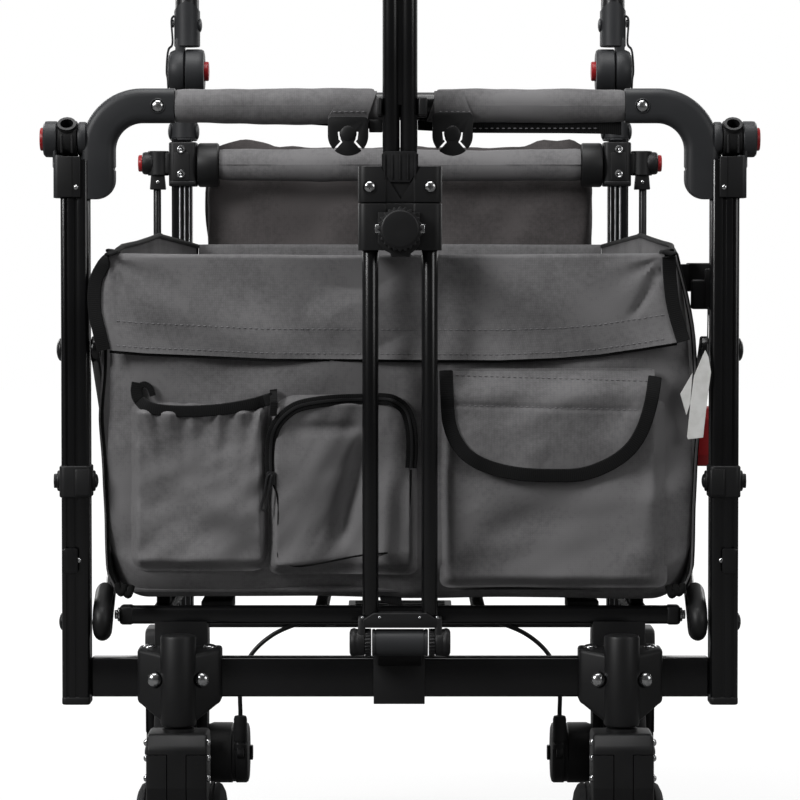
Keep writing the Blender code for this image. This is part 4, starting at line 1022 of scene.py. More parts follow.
def bandSection(width, thickness):
    # a flat band with soft edges, lying on what it binds
    half = width / 2
    return [(-half, 0), (-half, thickness * 0.6), (-half * 0.86, thickness * 0.95), (0, thickness * 1.1),
        (half * 0.86, thickness * 0.95), (half, thickness * 0.6), (half, 0), (0, -0.4)]


def crease(a, b, size, seed, slant=0.0, stretch=3.0):
    # soft folds that run along the slanted way, between -1 and 1
    turn = math.radians(slant)
    along = a * math.cos(turn) + b * math.sin(turn)
    across = b * math.cos(turn) - a * math.sin(turn)
    return 1.7 * noise.noise(Vector((along / (size * stretch), across / size, seed)))


def between(value, pairs):
    # straight lines through (place, amount) pairs
    if value <= pairs[0][0]:
        return pairs[0][1]
    for (start, low), (end, high) in zip(pairs, pairs[1:]):
        if value <= end:
            return low + (high - low) * (value - start) / (end - start)
    return pairs[-1][1]


def soft(value):
    value = min(1.0, max(0.0, value))
    return value * value * (3 - 2 * value)


stitchSizes = {"pitch": 5.2, "length": 3.4, "radius": 0.55}
threads = []


def stitchRow(points):
    # one bead of thread, repeated along the line
    s = stitchSizes
    deselectAll()
    bpy.ops.mesh.primitive_uv_sphere_add(segments=6, ring_count=4, radius=s["radius"] * mm)
    bead = bpy.context.object
    bpy.ops.transform.resize(value=(s["length"] / 2 / s["radius"], 1, 1))
    bpy.ops.transform.translate(value=(s["length"] / 2 * mm, 0, 0))
    bpy.ops.object.transform_apply(location=True, rotation=True, scale=True)
    line = bpy.data.curves.new("seam", "CURVE")
    line.dimensions = "3D"
    spline = line.splines.new("POLY")
    spline.points.add(len(points) - 1)
    for knot, point in zip(spline.points, points):
        knot.co = (*(value * mm for value in point), 1)
    path = bpy.data.objects.new("seam", line)
    bpy.context.scene.collection.objects.link(path)
    row = bead.modifiers.new("row", "ARRAY")
    row.fit_type = "FIT_CURVE"
    row.curve = path
    row.use_relative_offset = False
    row.use_constant_offset = True
    row.constant_offset_displace = (s["pitch"] * mm, 0, 0)
    follow = bead.modifiers.new("follow", "CURVE")
    follow.object = path
    applyAll(bead)
    bpy.data.objects.remove(path)
    threads.append(bead)


# The basket's front panel, its three pockets and the flap that folds over the rim
basket = {"front": frontY - 14, "half": 264, "rim": 676, "bottom": 361, "corner": 34}
pockets = {
    # margins: how wide the sloping sides are, at left, right, bottom and top
    "gathered": {"x": (-246, -118.5), "z": (387, 541), "depth": 15,
        "margins": (11, 9, 13, 9), "corners": (15, 4)},
    "zipped": {"x": (-120, 17), "z": (383.5, 549), "depth": 17, "margins": (7, 8, 10, 9),
        "corners": (10, 30), "rise": 15},
    "lidded": {"x": (36, 243), "z": (372, 544), "depth": 13.5, "margins": (8, 8, 9, 6),
        "corners": (8, 4), "drift": 22},
}


def slope(value, power=1.7):
    value = min(1.0, max(0.0, value))
    return 1 - (1 - value) ** power


def pocketDepth(x, z):
    most = 0.0
    for p in pockets.values():
        (left, right), (bottom, top), (a, b, c, d) = p["x"], p["z"], p["margins"]
        c += p.get("rise", 0) * (x - left) / (right - left)
        b += p.get("drift", 0) * (top - z) / (top - bottom)
        across = slope((x - left) / a) * slope((right - x) / b)
        share = across * slope((z - bottom) / c) * slope((top - z) / d)
        most = max(most, p["depth"] * share)
    return most


def panelBack(x, z):
    # how far the panel's cloth lies behind its flat front
    edge = max(0.0, (abs(x) - 232) / 32)
    folds = 6.0 * crease(x, z, 90, 3.1, 62) + 2.8 * crease(x, z, 34, 8.2, 15, 2.2)
    return 13 * edge**2 + max(folds, -4.8) + 4.8


def frontSurface(x, z):
    return basket["front"] + panelBack(x, z) - pocketDepth(x, z)


cornerLean = {1: 13.0, -1: 3.5}


def leaning(side, share):
    # how far the top front corners are drawn inwards, where the flap pulls them
    return cornerLean[side] * min(1.0, max(0.0, (share - 0.6) / 0.4)) ** 2


def makeFrontPanel():
    b = basket
    # the lower edge rolls under the floor
    roll = smoothLine([(48, 369, 0), (40, 361, 0), (30, 360.5, 0), (21, 366, 0), (12.5, 375, 0),
        (5, 384, 0), (0.8, 391, 0), (0, 399, 0)], 5)
    rollShare = 0.2
    upper = roll[-1]

    def place(u, v):
        x = b["half"] * (2 * u - 1)
        if v < rollShare:
            spot = v / rollShare * (len(roll) - 1)
            low = min(int(spot), len(roll) - 2)
            back, z = (roll[low].lerp(roll[low + 1], spot - low))[:2]
        else:
            back, z = upper[0], upper[1] + (b["rim"] - 4 - upper[1]) * (v - rollShare) / (1 - rollShare)
        reach = max(0.0, abs(x) - (b["half"] - b["corner"])) / b["corner"]
        lift = b["corner"] * (1 - math.sqrt(max(0.0, 1 - reach**2))) * max(0.0, 1 - (z - b["bottom"]) / 75)
        z += lift + 1.6 * crease(x, 0, 60, 5.5) * (1 - soft((z - 366) / 40))
        bulge = 3.0 * math.sin(math.pi * soft((z - b["bottom"]) / 200)) * reach
        bulge -= leaning(1 if x > 0 else -1, (z - 366) / 308) * (abs(x) / b["half"]) ** 4
        return (x + (bulge if x > 0 else -bulge), b["front"] + back + panelBack(x, z), z)

    panel = clothGrid(130, 110, place, (2 * b["half"], 330), 1.5)
    done(panel, "front_panel_cloth", greyCloth, "front_frame", "grey_fabric", "front_panel")


def cornerInset(distance, radius):
    if distance >= radius:
        return 0.0
    return radius - math.sqrt(max(0.0, radius**2 - (radius - distance) ** 2))


def makePocketBody(name, extra):
    p, b = pockets[name], basket
    (left, right), (bottom, top) = p["x"], p["z"]
    lowCorner, highCorner = p["corners"]

    def place(u, v):
        z = bottom + (top - bottom) * v
        inset = max(cornerInset(z - bottom, lowCorner), cornerInset(top - z, highCorner))
        x = left + inset + (right - left - 2 * inset) * u
        rim = slope(u * 14, 1.5) * slope((1 - u) * 14, 1.5) * slope(v * 14, 1.5) * slope((1 - v) * 14, 1.5)
        depth = pocketDepth(x, z) * min(1.0, rim * 1.02)
        return (x, b["front"] + panelBack(x, z) + 1.2 - depth - extra(x, z) * rim, z)

    return clothGrid(110, 110, place, (right - left, top - bottom), 1.3)


def gatheredFolds(x, z):
    # gathers fan out below the elastic and die away; a slack fold crosses the belly
    top = 531 + 0.0008 * (x + 190) ** 2
    near = math.exp(-max(0.0, top - z) / 17)
    fan = x + 0.35 * (top - z) * (x + 182) / 70
    gathers = 4.2 * math.sin(fan / 3.4 + 1.8 * noise.noise(Vector((fan / 24, 1.7, 0)))) * near
    return gathers + 6.5 * crease(x, z, 42, 14.2, -38, 2.2) + 1.8 * crease(x, z, 17, 2.2, 30, 2)


def zippedFolds(x, z):
    # the front sags into a long slanting fold towards its right half
    valley = math.exp(-(((x + 44) - (z - 460) * 0.22) / 8) ** 2) * soft((z - 400) / 30) * soft((525 - z) / 40)
    hollow = math.exp(-((z - 518) / 5.5) ** 2) * soft((x + 105) / 30) * soft((-28 - x) / 20)
    folds = -9.5 * valley - 4.6 * hollow + 4.4 * crease(x, z, 48, 21.4, 70, 2.4)
    return folds + 1.2 * crease(x, z, 16, 5.2, 60, 2)


def liddedFolds(x, z):
    return 5.4 * crease(x, z, 62, 31.3, 55, 2.6) + 1.8 * crease(x, z, 24, 4.4, 20, 2)


# Bindings follow these points, given over the panel as (across, up)
gatherTape = [(-237.6, 558.6), (-238.6, 550.4), (-236.2, 543.0), (-229.2, 537.4), (-218.8, 534.6),
    (-204.6, 533.2), (-188.4, 533.0), (-171.6, 533.8), (-154.6, 535.6), (-138.0, 538.4),
    (-125.4, 541.4), (-114.4, 545.0)]
gatherCurl = [(-235.6, 555.6), (-230.6, 556.8), (-226.0, 553.2), (-223.8, 546.6)]
gatherEnd = [(-114.6, 552.4), (-113.6, 541.0), (-114.4, 529.4)]
zipTape = [(-116.5, 472.5), (-117, 493.2), (-115.6, 509.5), (-111.1, 521.2), (-102.1, 531.2),
    (-89.4, 538.4), (-64.1, 542.5), (-36.1, 543.4), (-14.5, 543.8), (-3.6, 541.1), (5.4, 533), (9.9, 517.6),
    (10.8, 497.8), (9.9, 481.5)]
lidTape = [(41.6, 568.2), (42.5, 542.9), (44.3, 523), (50.6, 505.9), (62.3, 492.3), (82.2, 482.4),
    (107.5, 477), (136.4, 475.2), (163.5, 476.1), (185.2, 483.3), (204.2, 495.9), (216.8, 513.1),
    (224.9, 535.7), (230.4, 562.8)]


def smoothPairs(points, steps=5):
    # a smooth curve through given points of one plane
    return [(point.x, point.y) for point in smoothLine([(a, b, 0) for a, b in points], steps)]


def overFront(points, lift, steps=5):
    return [(x, frontSurface(x, z) - lift, z) for x, z in smoothPairs(points, steps)]


def makePockets():
    folds = {"gathered": gatheredFolds, "zipped": zippedFolds, "lidded": liddedFolds}
    for name, extra in folds.items():
        body = makePocketBody(name, extra)
        done(body, f"pocket_{name}_cloth", greyCloth, "front_frame", "grey_fabric")

    elastic = [ribbon(overFront(gatherTape, 3.0), bandSection(10.6, 3.6)),
        ribbon(overFront(gatherCurl, 3.4), bandSection(5.6, 2.4)),
        ribbon(overFront(gatherEnd, 3.6), bandSection(6.6, 2.6))]
    done(joined(*elastic), "pocket_gathered_binding", tape, "front_frame", "black_plastic")

    # the lid of the right pocket, held by its top seam
    def lidBottom(x):
        return between(x, lidTape)

    left, right = lidTape[0][0], lidTape[-1][0]

    def lidFace(x, z):
        p = pockets["lidded"]
        mouth = max(0.0, liddedFolds(x, z)) + p["depth"] * soft((580 - z) / 34) + 2.6
        fold = 3.0 * crease(x, z, 46, 12.5, 60, 2.6) + 3.0
        seam = 1.4 * math.exp(-((z - 540.5 + 0.03 * x) / 2.2) ** 2)
        return basket["front"] + panelBack(x, z) - mouth - fold * soft((572 - z) / 30) + seam

    def lidPlace(u, v):
        x = (left + right) / 2 - (right - left) / 2 * math.cos(math.pi * u)
        bottom = lidBottom(x)
        z = bottom + (570.5 - bottom) * v
        return (x, lidFace(x, z), z)

    lid = clothGrid(90, 50, lidPlace, (right - left, 94), 1.4)
    done(lid, "pocket_lid_cloth", greyCloth, "front_frame", "grey_fabric")
    lidLine = [(x, lidFace(x, z) - 1.2, z) for x, z in smoothPairs(lidTape)]
    lidBand = ribbon(lidLine, bandSection(12.2, 2.6))
    done(lidBand, "pocket_lid_binding", tape, "front_frame", "black_plastic")
    seam = ribbon([(x, lidFace(x, z) + 0.9, z) for x, z in ((42 + 6 * step, 570.0) for step in range(32))],
        bandSection(2.4, 1.2))
    done(seam, "pocket_lid_seam", greyCloth, "front_frame", "grey_fabric")
    for level, start, end in ((540.5, 56, 214), (566.8, 50, 226)):
        stitchRow([(x, lidFace(x, level - 0.03 * x) - 0.5, level - 0.03 * x) for x in range(start, end, 6)])

    # zip: tape, a spine of teeth, the slider and its loop
    zipBand = ribbon(overFront(zipTape, 1.2), bandSection(10.4, 2.2))
    done(zipBand, "pocket_zip_tape", tape, "front_frame", "black_plastic")
    spine = ribbon(overFront(zipTape, 3.0), bandSection(2.8, 1.6))
    done(spine, "pocket_zip_teeth", blackNylon, "front_frame", "black_plastic")
    x, z = zipTape[0]
    y = frontSurface(x, z) - 5
    slider = slab("y", [(x - 3.6, z - 6, 1.6), (x + 3.6, z - 6, 1.6), (x + 4.4, z + 6, 2),
        (x - 4.4, z + 6, 2)], y - 2.4, y + 3, 0.8)
    loop = [(x - 0.6, y - 2.6, z + 4), (x - 3.4, y - 4, z + 1), (x - 5.4, y - 4.4, z - 10),
        (x - 8.4, y - 4.2, z - 26), (x - 6.6, y - 3.6, z - 28.6), (x - 4.4, y - 3.2, z - 27.4),
        (x - 2.6, y - 3.4, z - 14), (x - 0.4, y - 3.4, z - 3), (x + 0.6, y - 3, z + 3)]
    wire = curveTube(smoothLine(loop, 4), 1.1, 3, cyclic=True)
    done(joined(slider, wire), "pocket_zip_slider", darkSteel, "front_frame", "frame_paint")
    # corded seam round the zipped pocket's front, below the zip
    edge = [(-116.5, 471), (-110.6, 455), (-110.4, 425), (-110.2, 400.5), (-103, 394.8), (-89, 392.4),
        (-62, 397), (-36, 402), (-12, 404.6), (6.2, 406.4), (7.4, 430), (9.4, 462), (9.9, 480)]
    cord = curveTube(overFront(edge, 0.4, 4), 0.9, 2)
    done(cord, "pocket_zipped_cord", tape, "front_frame", "black_plastic")


# Flap: lower edge as (across, height); its right corner curls up
flap = {"y": frontY - 20, "inside": 636, "hem": 21, "rim": 671, "crown": 0.62, "turnOver": 0.45}
flapEdge = [(-268, 588.5), (-229, 585.3), (-120, 580.3), (0, 579.4), (90, 579), (145, 581), (180, 584),
    (217, 589.5), (256, 596)]
flapSides = {"left": [(588, -263.4), (606, -267.5), (625, -271.6), (650, -271.0), (668, -268), (674, -266)],
    "right": [(596, 252), (606, 249), (620, 245), (634, 242), (655, 239.9), (668, 239.2), (674, 239)]}


def flapFace(x, z):
    # how far the flap hangs before its mean plane
    low = 1 - soft((z - 585) / 80)
    waves = (2.4 * math.sin(x / 47) + 1.8 * math.sin(x / 21 + 1.0)) * low
    curl = 7.0 * soft((x - 185) / 60) * soft((612 - z) / 40)
    folds = 7.8 * crease(x, z, 78, 6.6, -26, 2.4) + 2.8 * crease(x, z, 32, 19.5, -42, 2.4)
    gathers = 0.0
    for corner in (-262, 234):
        away = math.hypot(x - corner, (z - 672) * 0.8)
        angle = math.atan2(672 - z, abs(x - corner) + 1)
        gathers += 3.0 * math.sin(angle * 9) * math.exp(-away / 26) * soft(away / 16)
    crest = math.exp(-(((x - 226) - (z - 644) * 0.62) / 4.2) ** 2)
    pleat = -4.2 * crest * soft((z - 612) / 16) * soft((668 - z) / 16)
    clear = flap["y"] - basket["front"] - panelBack(x, z) + 2.4
    return min(12.0, max(waves + curl + folds + gathers + pleat, clear))


def flapPlace(u, v):
    crown, rim, turnOver = flap["crown"], flap["rim"], flap["turnOver"]
    if v < crown:
        share = v / crown
        guess = 586 + (672 - 586) * share
        left, right = between(guess, flapSides["left"]), between(guess, flapSides["right"])
        x = left + (right - left) * u
        low = between(x, flapEdge)
        z = low + (rim - low) * share
        return (x, flap["y"] - flapFace(x, z), z)
    left, right = flapSides["left"][-1][1], flapSides["right"][-1][1]
    x = left + (right - left) * u
    share = (v - crown) / (1 - crown)
    dip = 1.5 * math.sin(math.pi * u) + 0.7 * crease(x, 0, 40, 2.0)
    if share < turnOver:
        turn = math.pi * share / turnOver
        y = flap["y"] - flapFace(x, rim) * (0.5 + 0.5 * math.cos(turn)) + 6.5 * (1 - math.cos(turn))
        return (x, y, rim + 4.6 * math.sin(turn) - dip * math.sin(turn))
    drop = (share - turnOver) / (1 - turnOver)
    return (x, flap["y"] + 13 + 1.5 * crease(x, drop * 40, 50, 4), rim - (rim - flap["inside"]) * drop)


def makeFlap():
    cloth = clothGrid(150, 90, flapPlace, (506, 136), 1.5)
    done(cloth, "front_flap_cloth", greyCloth, "front_frame", "grey_fabric")
    bands = []
    for side, turn in (("left", -1), ("right", 1)):
        line = []
        for z, x in flapSides[side]:
            out = 4.0 if turn > 0 else 4.0 - 8.0 * soft((z - 652) / 24)
            line.append((x + turn * out, flap["y"] - flapFace(x, z) - 0.6, z))
        x = flapSides[side][-1][1] + (3.0 if turn > 0 else 5.5)
        line += [(x, flap["y"] + 1, 676.2), (x - turn * 1.5, flap["y"] + 8, 675.4),
            (x - turn * 2, flap["y"] + 13, 666), (x - turn * 2, flap["y"] + 13.5, 645)]
        path = smoothLine(line, 5)

        def facing(point):
            return (0, -1, 0) if point.z < 668 else (point - Vector((point.x, flap["y"] + 7, 664)))

        bands.append(ribbon(path, bandSection(12.2, 2.4), facing))
    # the black lining under the lower hem
    under = [(x, flap["y"] - flapFace(x, low + 4) + 3.4, low + 0.6) for x,
        low in ((x, between(x, flapEdge)) for x in range(-262, 256, 8))]
    hem = ribbon(under, bandSection(6.4, 1.4))
    done(joined(*bands, hem), "front_flap_binding", tape, "front_frame", "black_plastic")
    for rise in (5, flap["hem"] + 6):
        row = []
        for x in range(-256, 240, 6):
            z = between(x, flapEdge) + rise
            row.append((x, flap["y"] - flapFace(x, z) - 0.3, z))
        stitchRow(row)


# Side walls: cloth sheets with soft folds and a middle fold
sideWall = {"frontX": 264, "rearX": 231, "bottom": 366, "cornerReach": 0.13, "frontPuff": 8.5,
    "puffReach": 0.045, "foldDepth": 2.4, "foldReach": 0.008, "tuck": 6,
    "rim": [(0, 674), (0.03, 678), (0.1, 682), (0.2, 684), (0.27, 685.6), (0.4, 690), (0.5, 693.8),
    (0.6, 692), (0.7, 690), (0.85, 687), (1, 684)]}


def wallPoint(u, v, lift=0.0, side=1):
    w = sideWall
    y = frontY - 2 + (rearY - frontY + 9) * u
    top = between(u, w["rim"])
    z = w["bottom"] + (top - w["bottom"]) * v
    x = w["frontX"] + (w["rearX"] - w["frontX"]) * u
    belly = math.sin(math.pi * min(1.0, v * 1.02))
    x -= leaning(side, v) * math.exp(-((u / w["cornerReach"]) ** 2))
    folds = 4.4 * crease(y, z, 110, 7.7, 78) + 2.0 * crease(y, z, 42, 1.3, 40)
    x += w["frontPuff"] * math.exp(-u / w["puffReach"]) * belly + folds * belly
    # the wall's middle fold, and its lower edge tucked under the floor
    x -= w["foldDepth"] * math.exp(-((u - 0.5) / w["foldReach"]) ** 2) + w["tuck"] * (1 - soft(v * 14))
    return (x + lift, y, z)


def foldWith(piece):
    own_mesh(piece)


def makeSideWalls():
    for side, word in ((1, "right"), (-1, "left")):
        def place(u, v):
            x, y, z = wallPoint(u, v, 0.0, side)
            return (side * x, y, z)

        def trace(spots, lift=0.0):
            # points along the wall, for its piping and its seams
            line = [Vector(wallPoint(u, v, lift, side)) for u, v in spots]
            return [(side * point.x, point.y, point.z) for point in line]

        wall = clothGrid(150, 70, place, (807, 320), 1.5)
        if side < 0:
            edit(wall)
            bpy.ops.mesh.flip_normals()
            bpy.ops.object.mode_set(mode="OBJECT")
        done(wall, f"side_wall_{word}_cloth", innerClothPaintedShade, "front_frame", "grey_fabric", f"side_wall_{word}")
        piping = curveTube(trace([(step / 60, 1.0) for step in range(61)], -0.7), 2.5, 4)
        seams = [curveTube(trace([(u, v / 24) for v in range(25)]), 2.2, 3) for u in (0.004, 0.997)]
        trim = joined(piping, *seams)
        done(trim, f"side_wall_{word}_piping", tape, "front_frame", "black_plastic")
        foldWith(wall)
        foldWith(trim)


rearPanel = {"half": 229, "y": rearY + 9.5, "bottom": 364, "rim": 682,
    "flatShare": 0.9, "sag": 3.4, "hem": 3.6}


def makeRearPanel():
    p = rearPanel
    bottom, rim, flatShare = p["bottom"], p["rim"], p["flatShare"]

    def place(u, v):
        x = p["half"] * (2 * u - 1)
        if v < flatShare:
            z = bottom + (rim - bottom) * v / flatShare
            return (x, p["y"] + p["sag"] * crease(x, z, 90, 9.1, 60), z)
        # the hem turns over the rim
        turn = math.pi * (v - flatShare) / (1 - flatShare)
        fold = p["sag"] * crease(x, rim, 90, 9.1, 60) + p["hem"] * (1 - math.cos(turn))
        return (x, p["y"] + fold, rim + 4.4 * math.sin(turn) + 0.8 * crease(x, 0, 60, 3.3))

    panel = clothGrid(110, 80, place, (458, 330), 1.5)
    done(panel, "rear_panel_cloth", greyCloth, "rear_frame", "grey_fabric", "rear_panel")


floorMat = {"frontHalf": 253.5, "narrowing": 31.5, "z": 368.5, "rise": 7.0, "seamDepth": 1.6, "seamHalf": 5}


def makeFloorMat():
    p = floorMat

    def place(u, v):
        x = (p["frontHalf"] - p["narrowing"] * v) * (2 * u - 1)
        y = frontY + 6 + (rearY - frontY - 4) * v
        rim = slope(u * 22) * slope((1 - u) * 22) * slope(v * 40) * slope((1 - v) * 40)
        seam = p["seamDepth"] * math.exp(-((y - middleY) / p["seamHalf"]) ** 2)
        return (x, y, p["z"] + p["rise"] * rim - seam + 0.9 * crease(x, y, 110, 5.2, 30) * rim)

    mat = clothGrid(80, 110, place, (480, 780), 2.2)
    done(mat, "basket_floor_mat", innerClothPaintedShade, "front_frame", "grey_fabric", "basket_floor")
    foldWith(mat)


# Storage bag behind the rear bar: an open sack with a ruffled top
bag = {"half": 223, "y": (rearY + 27, rearY + 108), "z": (521, 797), "corner": 16, "spacing": 7,
    "floorShare": 0.2, "floorRise": 9}


def makeRearBag():
    g = bag
    near, far = g["y"]
    loop = roundOutline([(-g["half"], near, g["corner"]), (g["half"], near, g["corner"]),
        (g["half"], far, 34), (-g["half"], far, 34)], 6)
    ring = []
    for (ax, ay), (bx, by) in zip(loop, loop[1:] + loop[:1]):
        pieces = max(1, round(math.hypot(bx - ax, by - ay) / g["spacing"]))
        ring += [(ax + (bx - ax) * step / pieces, ay + (by - ay) * step / pieces) for step in range(pieces)]
    count = len(ring)
    middle = (near + far) / 2
    low, high = g["z"]
    floorShare, floorRise = g["floorShare"], g["floorRise"]

    def place(u, v):
        x, y = ring[round(u * count) % count]
        side = (x / g["half"], (y - middle) / ((far - near) / 2))
        if v < floorShare:
            turn = v / floorShare * math.pi / 2
            share = math.sin(turn)
            return (x * share, middle + (y - middle) * share, low + floorRise * (1 - math.cos(turn)))
        height = (v - floorShare) / (1 - floorShare)
        z = low + floorRise + (high - low - floorRise) * height
        around = u * count * g["spacing"]
        sag = 6.0 * crease(around, z, 80, 2.9, 68) + 2.6 * crease(around, z, 30, 4.8, 50, 2)
        sag -= 7 * (1 - height) ** 2
        waver = 2 * noise.noise(Vector((around / 60, 0, 0)))
        ruffle = 3.0 * math.sin(around / 13 + waver) * soft((height - 0.86) / 0.14)
        waist = -4 * math.exp(-((height - 0.9) / 0.05) ** 2)
        push = sag * 0.8 + ruffle * 0.7 + waist - 2.5
        if y < near + 4:
            push = min(push, 1.0)
        lift = 2.6 * noise.noise(Vector((around / 28, 5.0, 0))) * height**6
        if y < near + 4:
            lift += (8.5 + 1.6 * math.sin(x / 6)) * math.exp(-(((abs(x) - 178) / 30) ** 4)) * height**8
        return (x + side[0] ** 3 * push, y + (side[1] ** 3) * push, z + lift)

    sack = clothGrid(count, 84, place, (count * g["spacing"], 340), 0)
    closeSeam(sack)
    thicken(sack, 1.5)
    # the bag's darker cloth is painted shade under the rear bar
    done(sack, "rear_bag_cloth", bagClothPaintedShade, "rear_frame", "grey_fabric", "rear_bag", angle=60)


# Padded sleeves of the two cross bars
bars = {"frontZ": 808.7, "frontRadius": 15.4, "frontEnd": 203.4, "coreRadius": 12.6,
    "rearZ": 776, "rearRadius": 18.4}


def sleeve(start, end, y, z, radius, seed, slantStart=0.0, slantEnd=0.0, rings=80):
    # a tube of cloth with slack folds; its ends may be cut at a slant
    def place(u, v):
        turn = -2 * math.pi * v
        x = start + (end - start) * u
        slack = 1.1 * crease(x, turn * 30, 55, seed, 25, 2) + 0.5 * crease(x,
            turn * 30, 20, seed + 3, 60, 2)
        hem = 1.0 * math.exp(-min(u, 1 - u) * abs(end - start) / 3)
        r = radius + slack - hem
        ends = slantStart * math.exp(-u * 9) * math.sin(turn)
        ends += slantEnd * math.exp(-(1 - u) * 9) * math.sin(turn)
        return (x + ends, y - r * math.cos(turn), z - r * math.sin(turn))

    tube = clothGrid(rings, 36, place, (abs(end - start), 2 * math.pi * radius), 0)
    closeSeam(tube)
    outward(tube)
    thicken(tube, 1.4)
    return tube


def makeFrontBar():
    z, radius = bars["frontZ"], bars["frontRadius"]
    end = bars["frontEnd"]
    left = sleeve(-end, -17, frontY, z, radius, 2.2, 0, 7)
    right = sleeve(29, end, frontY, z, radius, 6.4, -5, 0)
    core = rod("x", (frontY, z), bars["coreRadius"], 0.2 - end, end - 0.2, 0.6, 40)
    done(core, "front_bar_tube", paint, "front_frame", "frame_paint", "front_bar")
    cover = done(joined(left, right), "front_bar_sleeve", greyCloth, "front_frame", "grey_fabric")


def makeRearBar():
    z, radius = bars["rearZ"], bars["rearRadius"]
    cloth = sleeve(-204.5, 204.5, rearY, z, radius - 0.4, 9.3)
    done(cloth, "rear_bar_sleeve", greyCloth, "rear_frame", "grey_fabric", "rear_bar")
    cap = turned("x", (rearY, z), [(12, 205.2), (23.4, 205.2), (24.8, 206.6), (25, 208), (25, 226.5),
        (24, 228.4), (22, 229.2), (10, 229.2)], 48)
    twin = mirroredCopy(cap)
    done(joined(cap, twin), "rear_bar_caps", blackNylon, "rear_frame", "grey_plastic")


makeFrontPanel()
makePockets()
makeFlap()
print("front of the basket made")
makeSideWalls()
makeRearPanel()
makeFloorMat()
makeRearBag()
print("basket made")
makeFrontBar()
makeRearBar()
print("padded bars made")


def strokeOutline(points, width):
    # outline of a line of that width, as (a, b) points
    sides = ([], [])
    for index, (a, b) in enumerate(points):
        way = (Vector(points[min(index + 1, len(points) - 1)]) - Vector(points[max(index - 1,
            0)])).normalized()
        for side, turn in zip(sides, (1, -1)):
            side.append((a - way.y * turn * width / 2, b + way.x * turn * width / 2))
    return sides[0] + sides[1][::-1]


def barOutline(start, end, half, endRadius):
    # a flat bar with full round ends, as (along Y, up) points
    start, end = Vector(start), Vector(end)
    way = math.degrees(math.atan2((end - start).y, (end - start).x))
    reach = math.degrees(math.asin(min(1.0, half / endRadius)))
    first = arcPoints(tuple(start), endRadius, way + reach, way + 360 - reach, 14)
    last = arcPoints(tuple(end), endRadius, way + 180 + reach, way + 540 - reach, 14)
    return first + last


def crossSlot(head, x, y, z, size, depth):
    # cuts a cross recess into a screw head that faces -Y
    for wide, tall in ((size, 1.1), (1.1, size)):
        cut(head, block((x - wide / 2, x + wide / 2), (y - 5, y + depth), (z - tall / 2, z + tall / 2)))
    return head


# Front bar's trim: two clips on cloth tabs, the black hem and the guide of the pull pole
barTrim = {"clips": ((-46.8, 763.3, 798.4), (47.4, 763.3, 802.0)), "clipHalf": 18.3,
    "clipY": (frontY - 21.6, frontY - 15.1), "ballRadius": 7.8, "ballZ": 783.3,
    "tabs": ((-49.6, -20.8, -65.0, -29.0), (31.0, 56.0, 31.0, 66.0)), "tabZ": (791, 822), "tabRadius": 17.6,
    "hems": ([(-114, 793.8), (-90, 792.6), (-60, 790.5), (-15, 787.5)],
    [(16, 787), (30, 786.2), (66, 784.5), (150, 784.2), (190, 783.6), (200.6, 782.4)])}


def makeBarTrim():
    p = barTrim
    near, far = p["clipY"]
    half = p["clipHalf"]
    clips, balls = [], []
    for x, low, high in p["clips"]:
        outline = arcPoints((x, low + half), half, 180, 360, 26)
        outline += arcPoints((x + half - 4, high - 4), 4, 0, 90, 5)
        outline += arcPoints((x - half + 4, high - 4), 4, 90, 180, 5)
        clip = plate("y", outline, near, far)
        for side in (-1, 1):
            slit = [(x + side * 8.4, 785.0), (x + side * 7.6, 778.0), (x + side * 6.0, 776.0),
                (x + side * 15.6, 765.4)]
            cut(clip, plate("y", strokeOutline(slit, 1.8), near - 5, far + 5))
        clips.append(bevelled(clip, 0.8, 2, 40))
        balls.append(dome("y", (x, p["ballZ"]), p["ballRadius"], near + 1.5, near - 1.2, 36))
    done(joined(*clips, *balls), "front_bar_clips", blackNylon, "front_frame", "black_plastic", angle=40)

    low, high = p["tabZ"]
    for name, (topLeft, topRight, bottomLeft, bottomRight) in zip(("left", "right"), p["tabs"]):
        def tabPlace(u, v):
            z = low + (high - low) * v
            share = max(0.0, (z - 798) / 24)
            near = bottomLeft + (topLeft - bottomLeft) * share
            far = bottomRight + (topRight - bottomRight) * share
            x = near * (1 - u) + far * u
            out = math.sqrt(max(1.0, p["tabRadius"] ** 2 - (z - bars["frontZ"]) ** 2)) + 0.4 * crease(x, z,
                18, 4.1, 40)
            return (x, frontY - max(out, 14.2 if z < 800 else 0), z)

        tab = clothGrid(24, 20, tabPlace, (32, 36), 1.4)
        done(tab, f"front_bar_tab_{name}", greyCloth, "front_frame", "grey_fabric")
        row = [(x, frontY - 17.4, 803.0) for x in range(round(bottomLeft) + 4, round(bottomRight) - 2, 4)]
        stitchRow(row)

    for name, line in zip(("left", "right"), p["hems"]):
        start, end = line[0][0], line[-1][0]

        def hemPlace(u, v):
            x = start + (end - start) * u
            low = between(x, line)
            return (x, frontY - 2.5 - 0.8 * crease(x, 0, 40, 3.3), low + (796 - low) * v)

        hem = clothGrid(60, 6, hemPlace, (end - start, 10), 2.4)
        done(hem, f"front_bar_hem_{name}", tape, "front_frame", "black_plastic")
    stitchRow([(x, frontY - 3.4, 788.6) for x in range(66, 184, 6)])

    guide = block((-20.3, 24.3), (pullY + 9, frontY - 13), (797.4, 815.6), 2.2)
    jaws = [block(span, (pullY - 8.2, frontY - 20), (798.4, 814.6), 1.4)
        for span in ((-20.3, -16.5), (16.5, 24.2))]
    foot = block((-28, -15.8), (frontY - 16.4, frontY - 9), (784.6, 796), 1.0)
    done(joined(guide, *jaws, foot), "front_bar_pole_guide", blackNylon, "front_frame", "black_plastic")


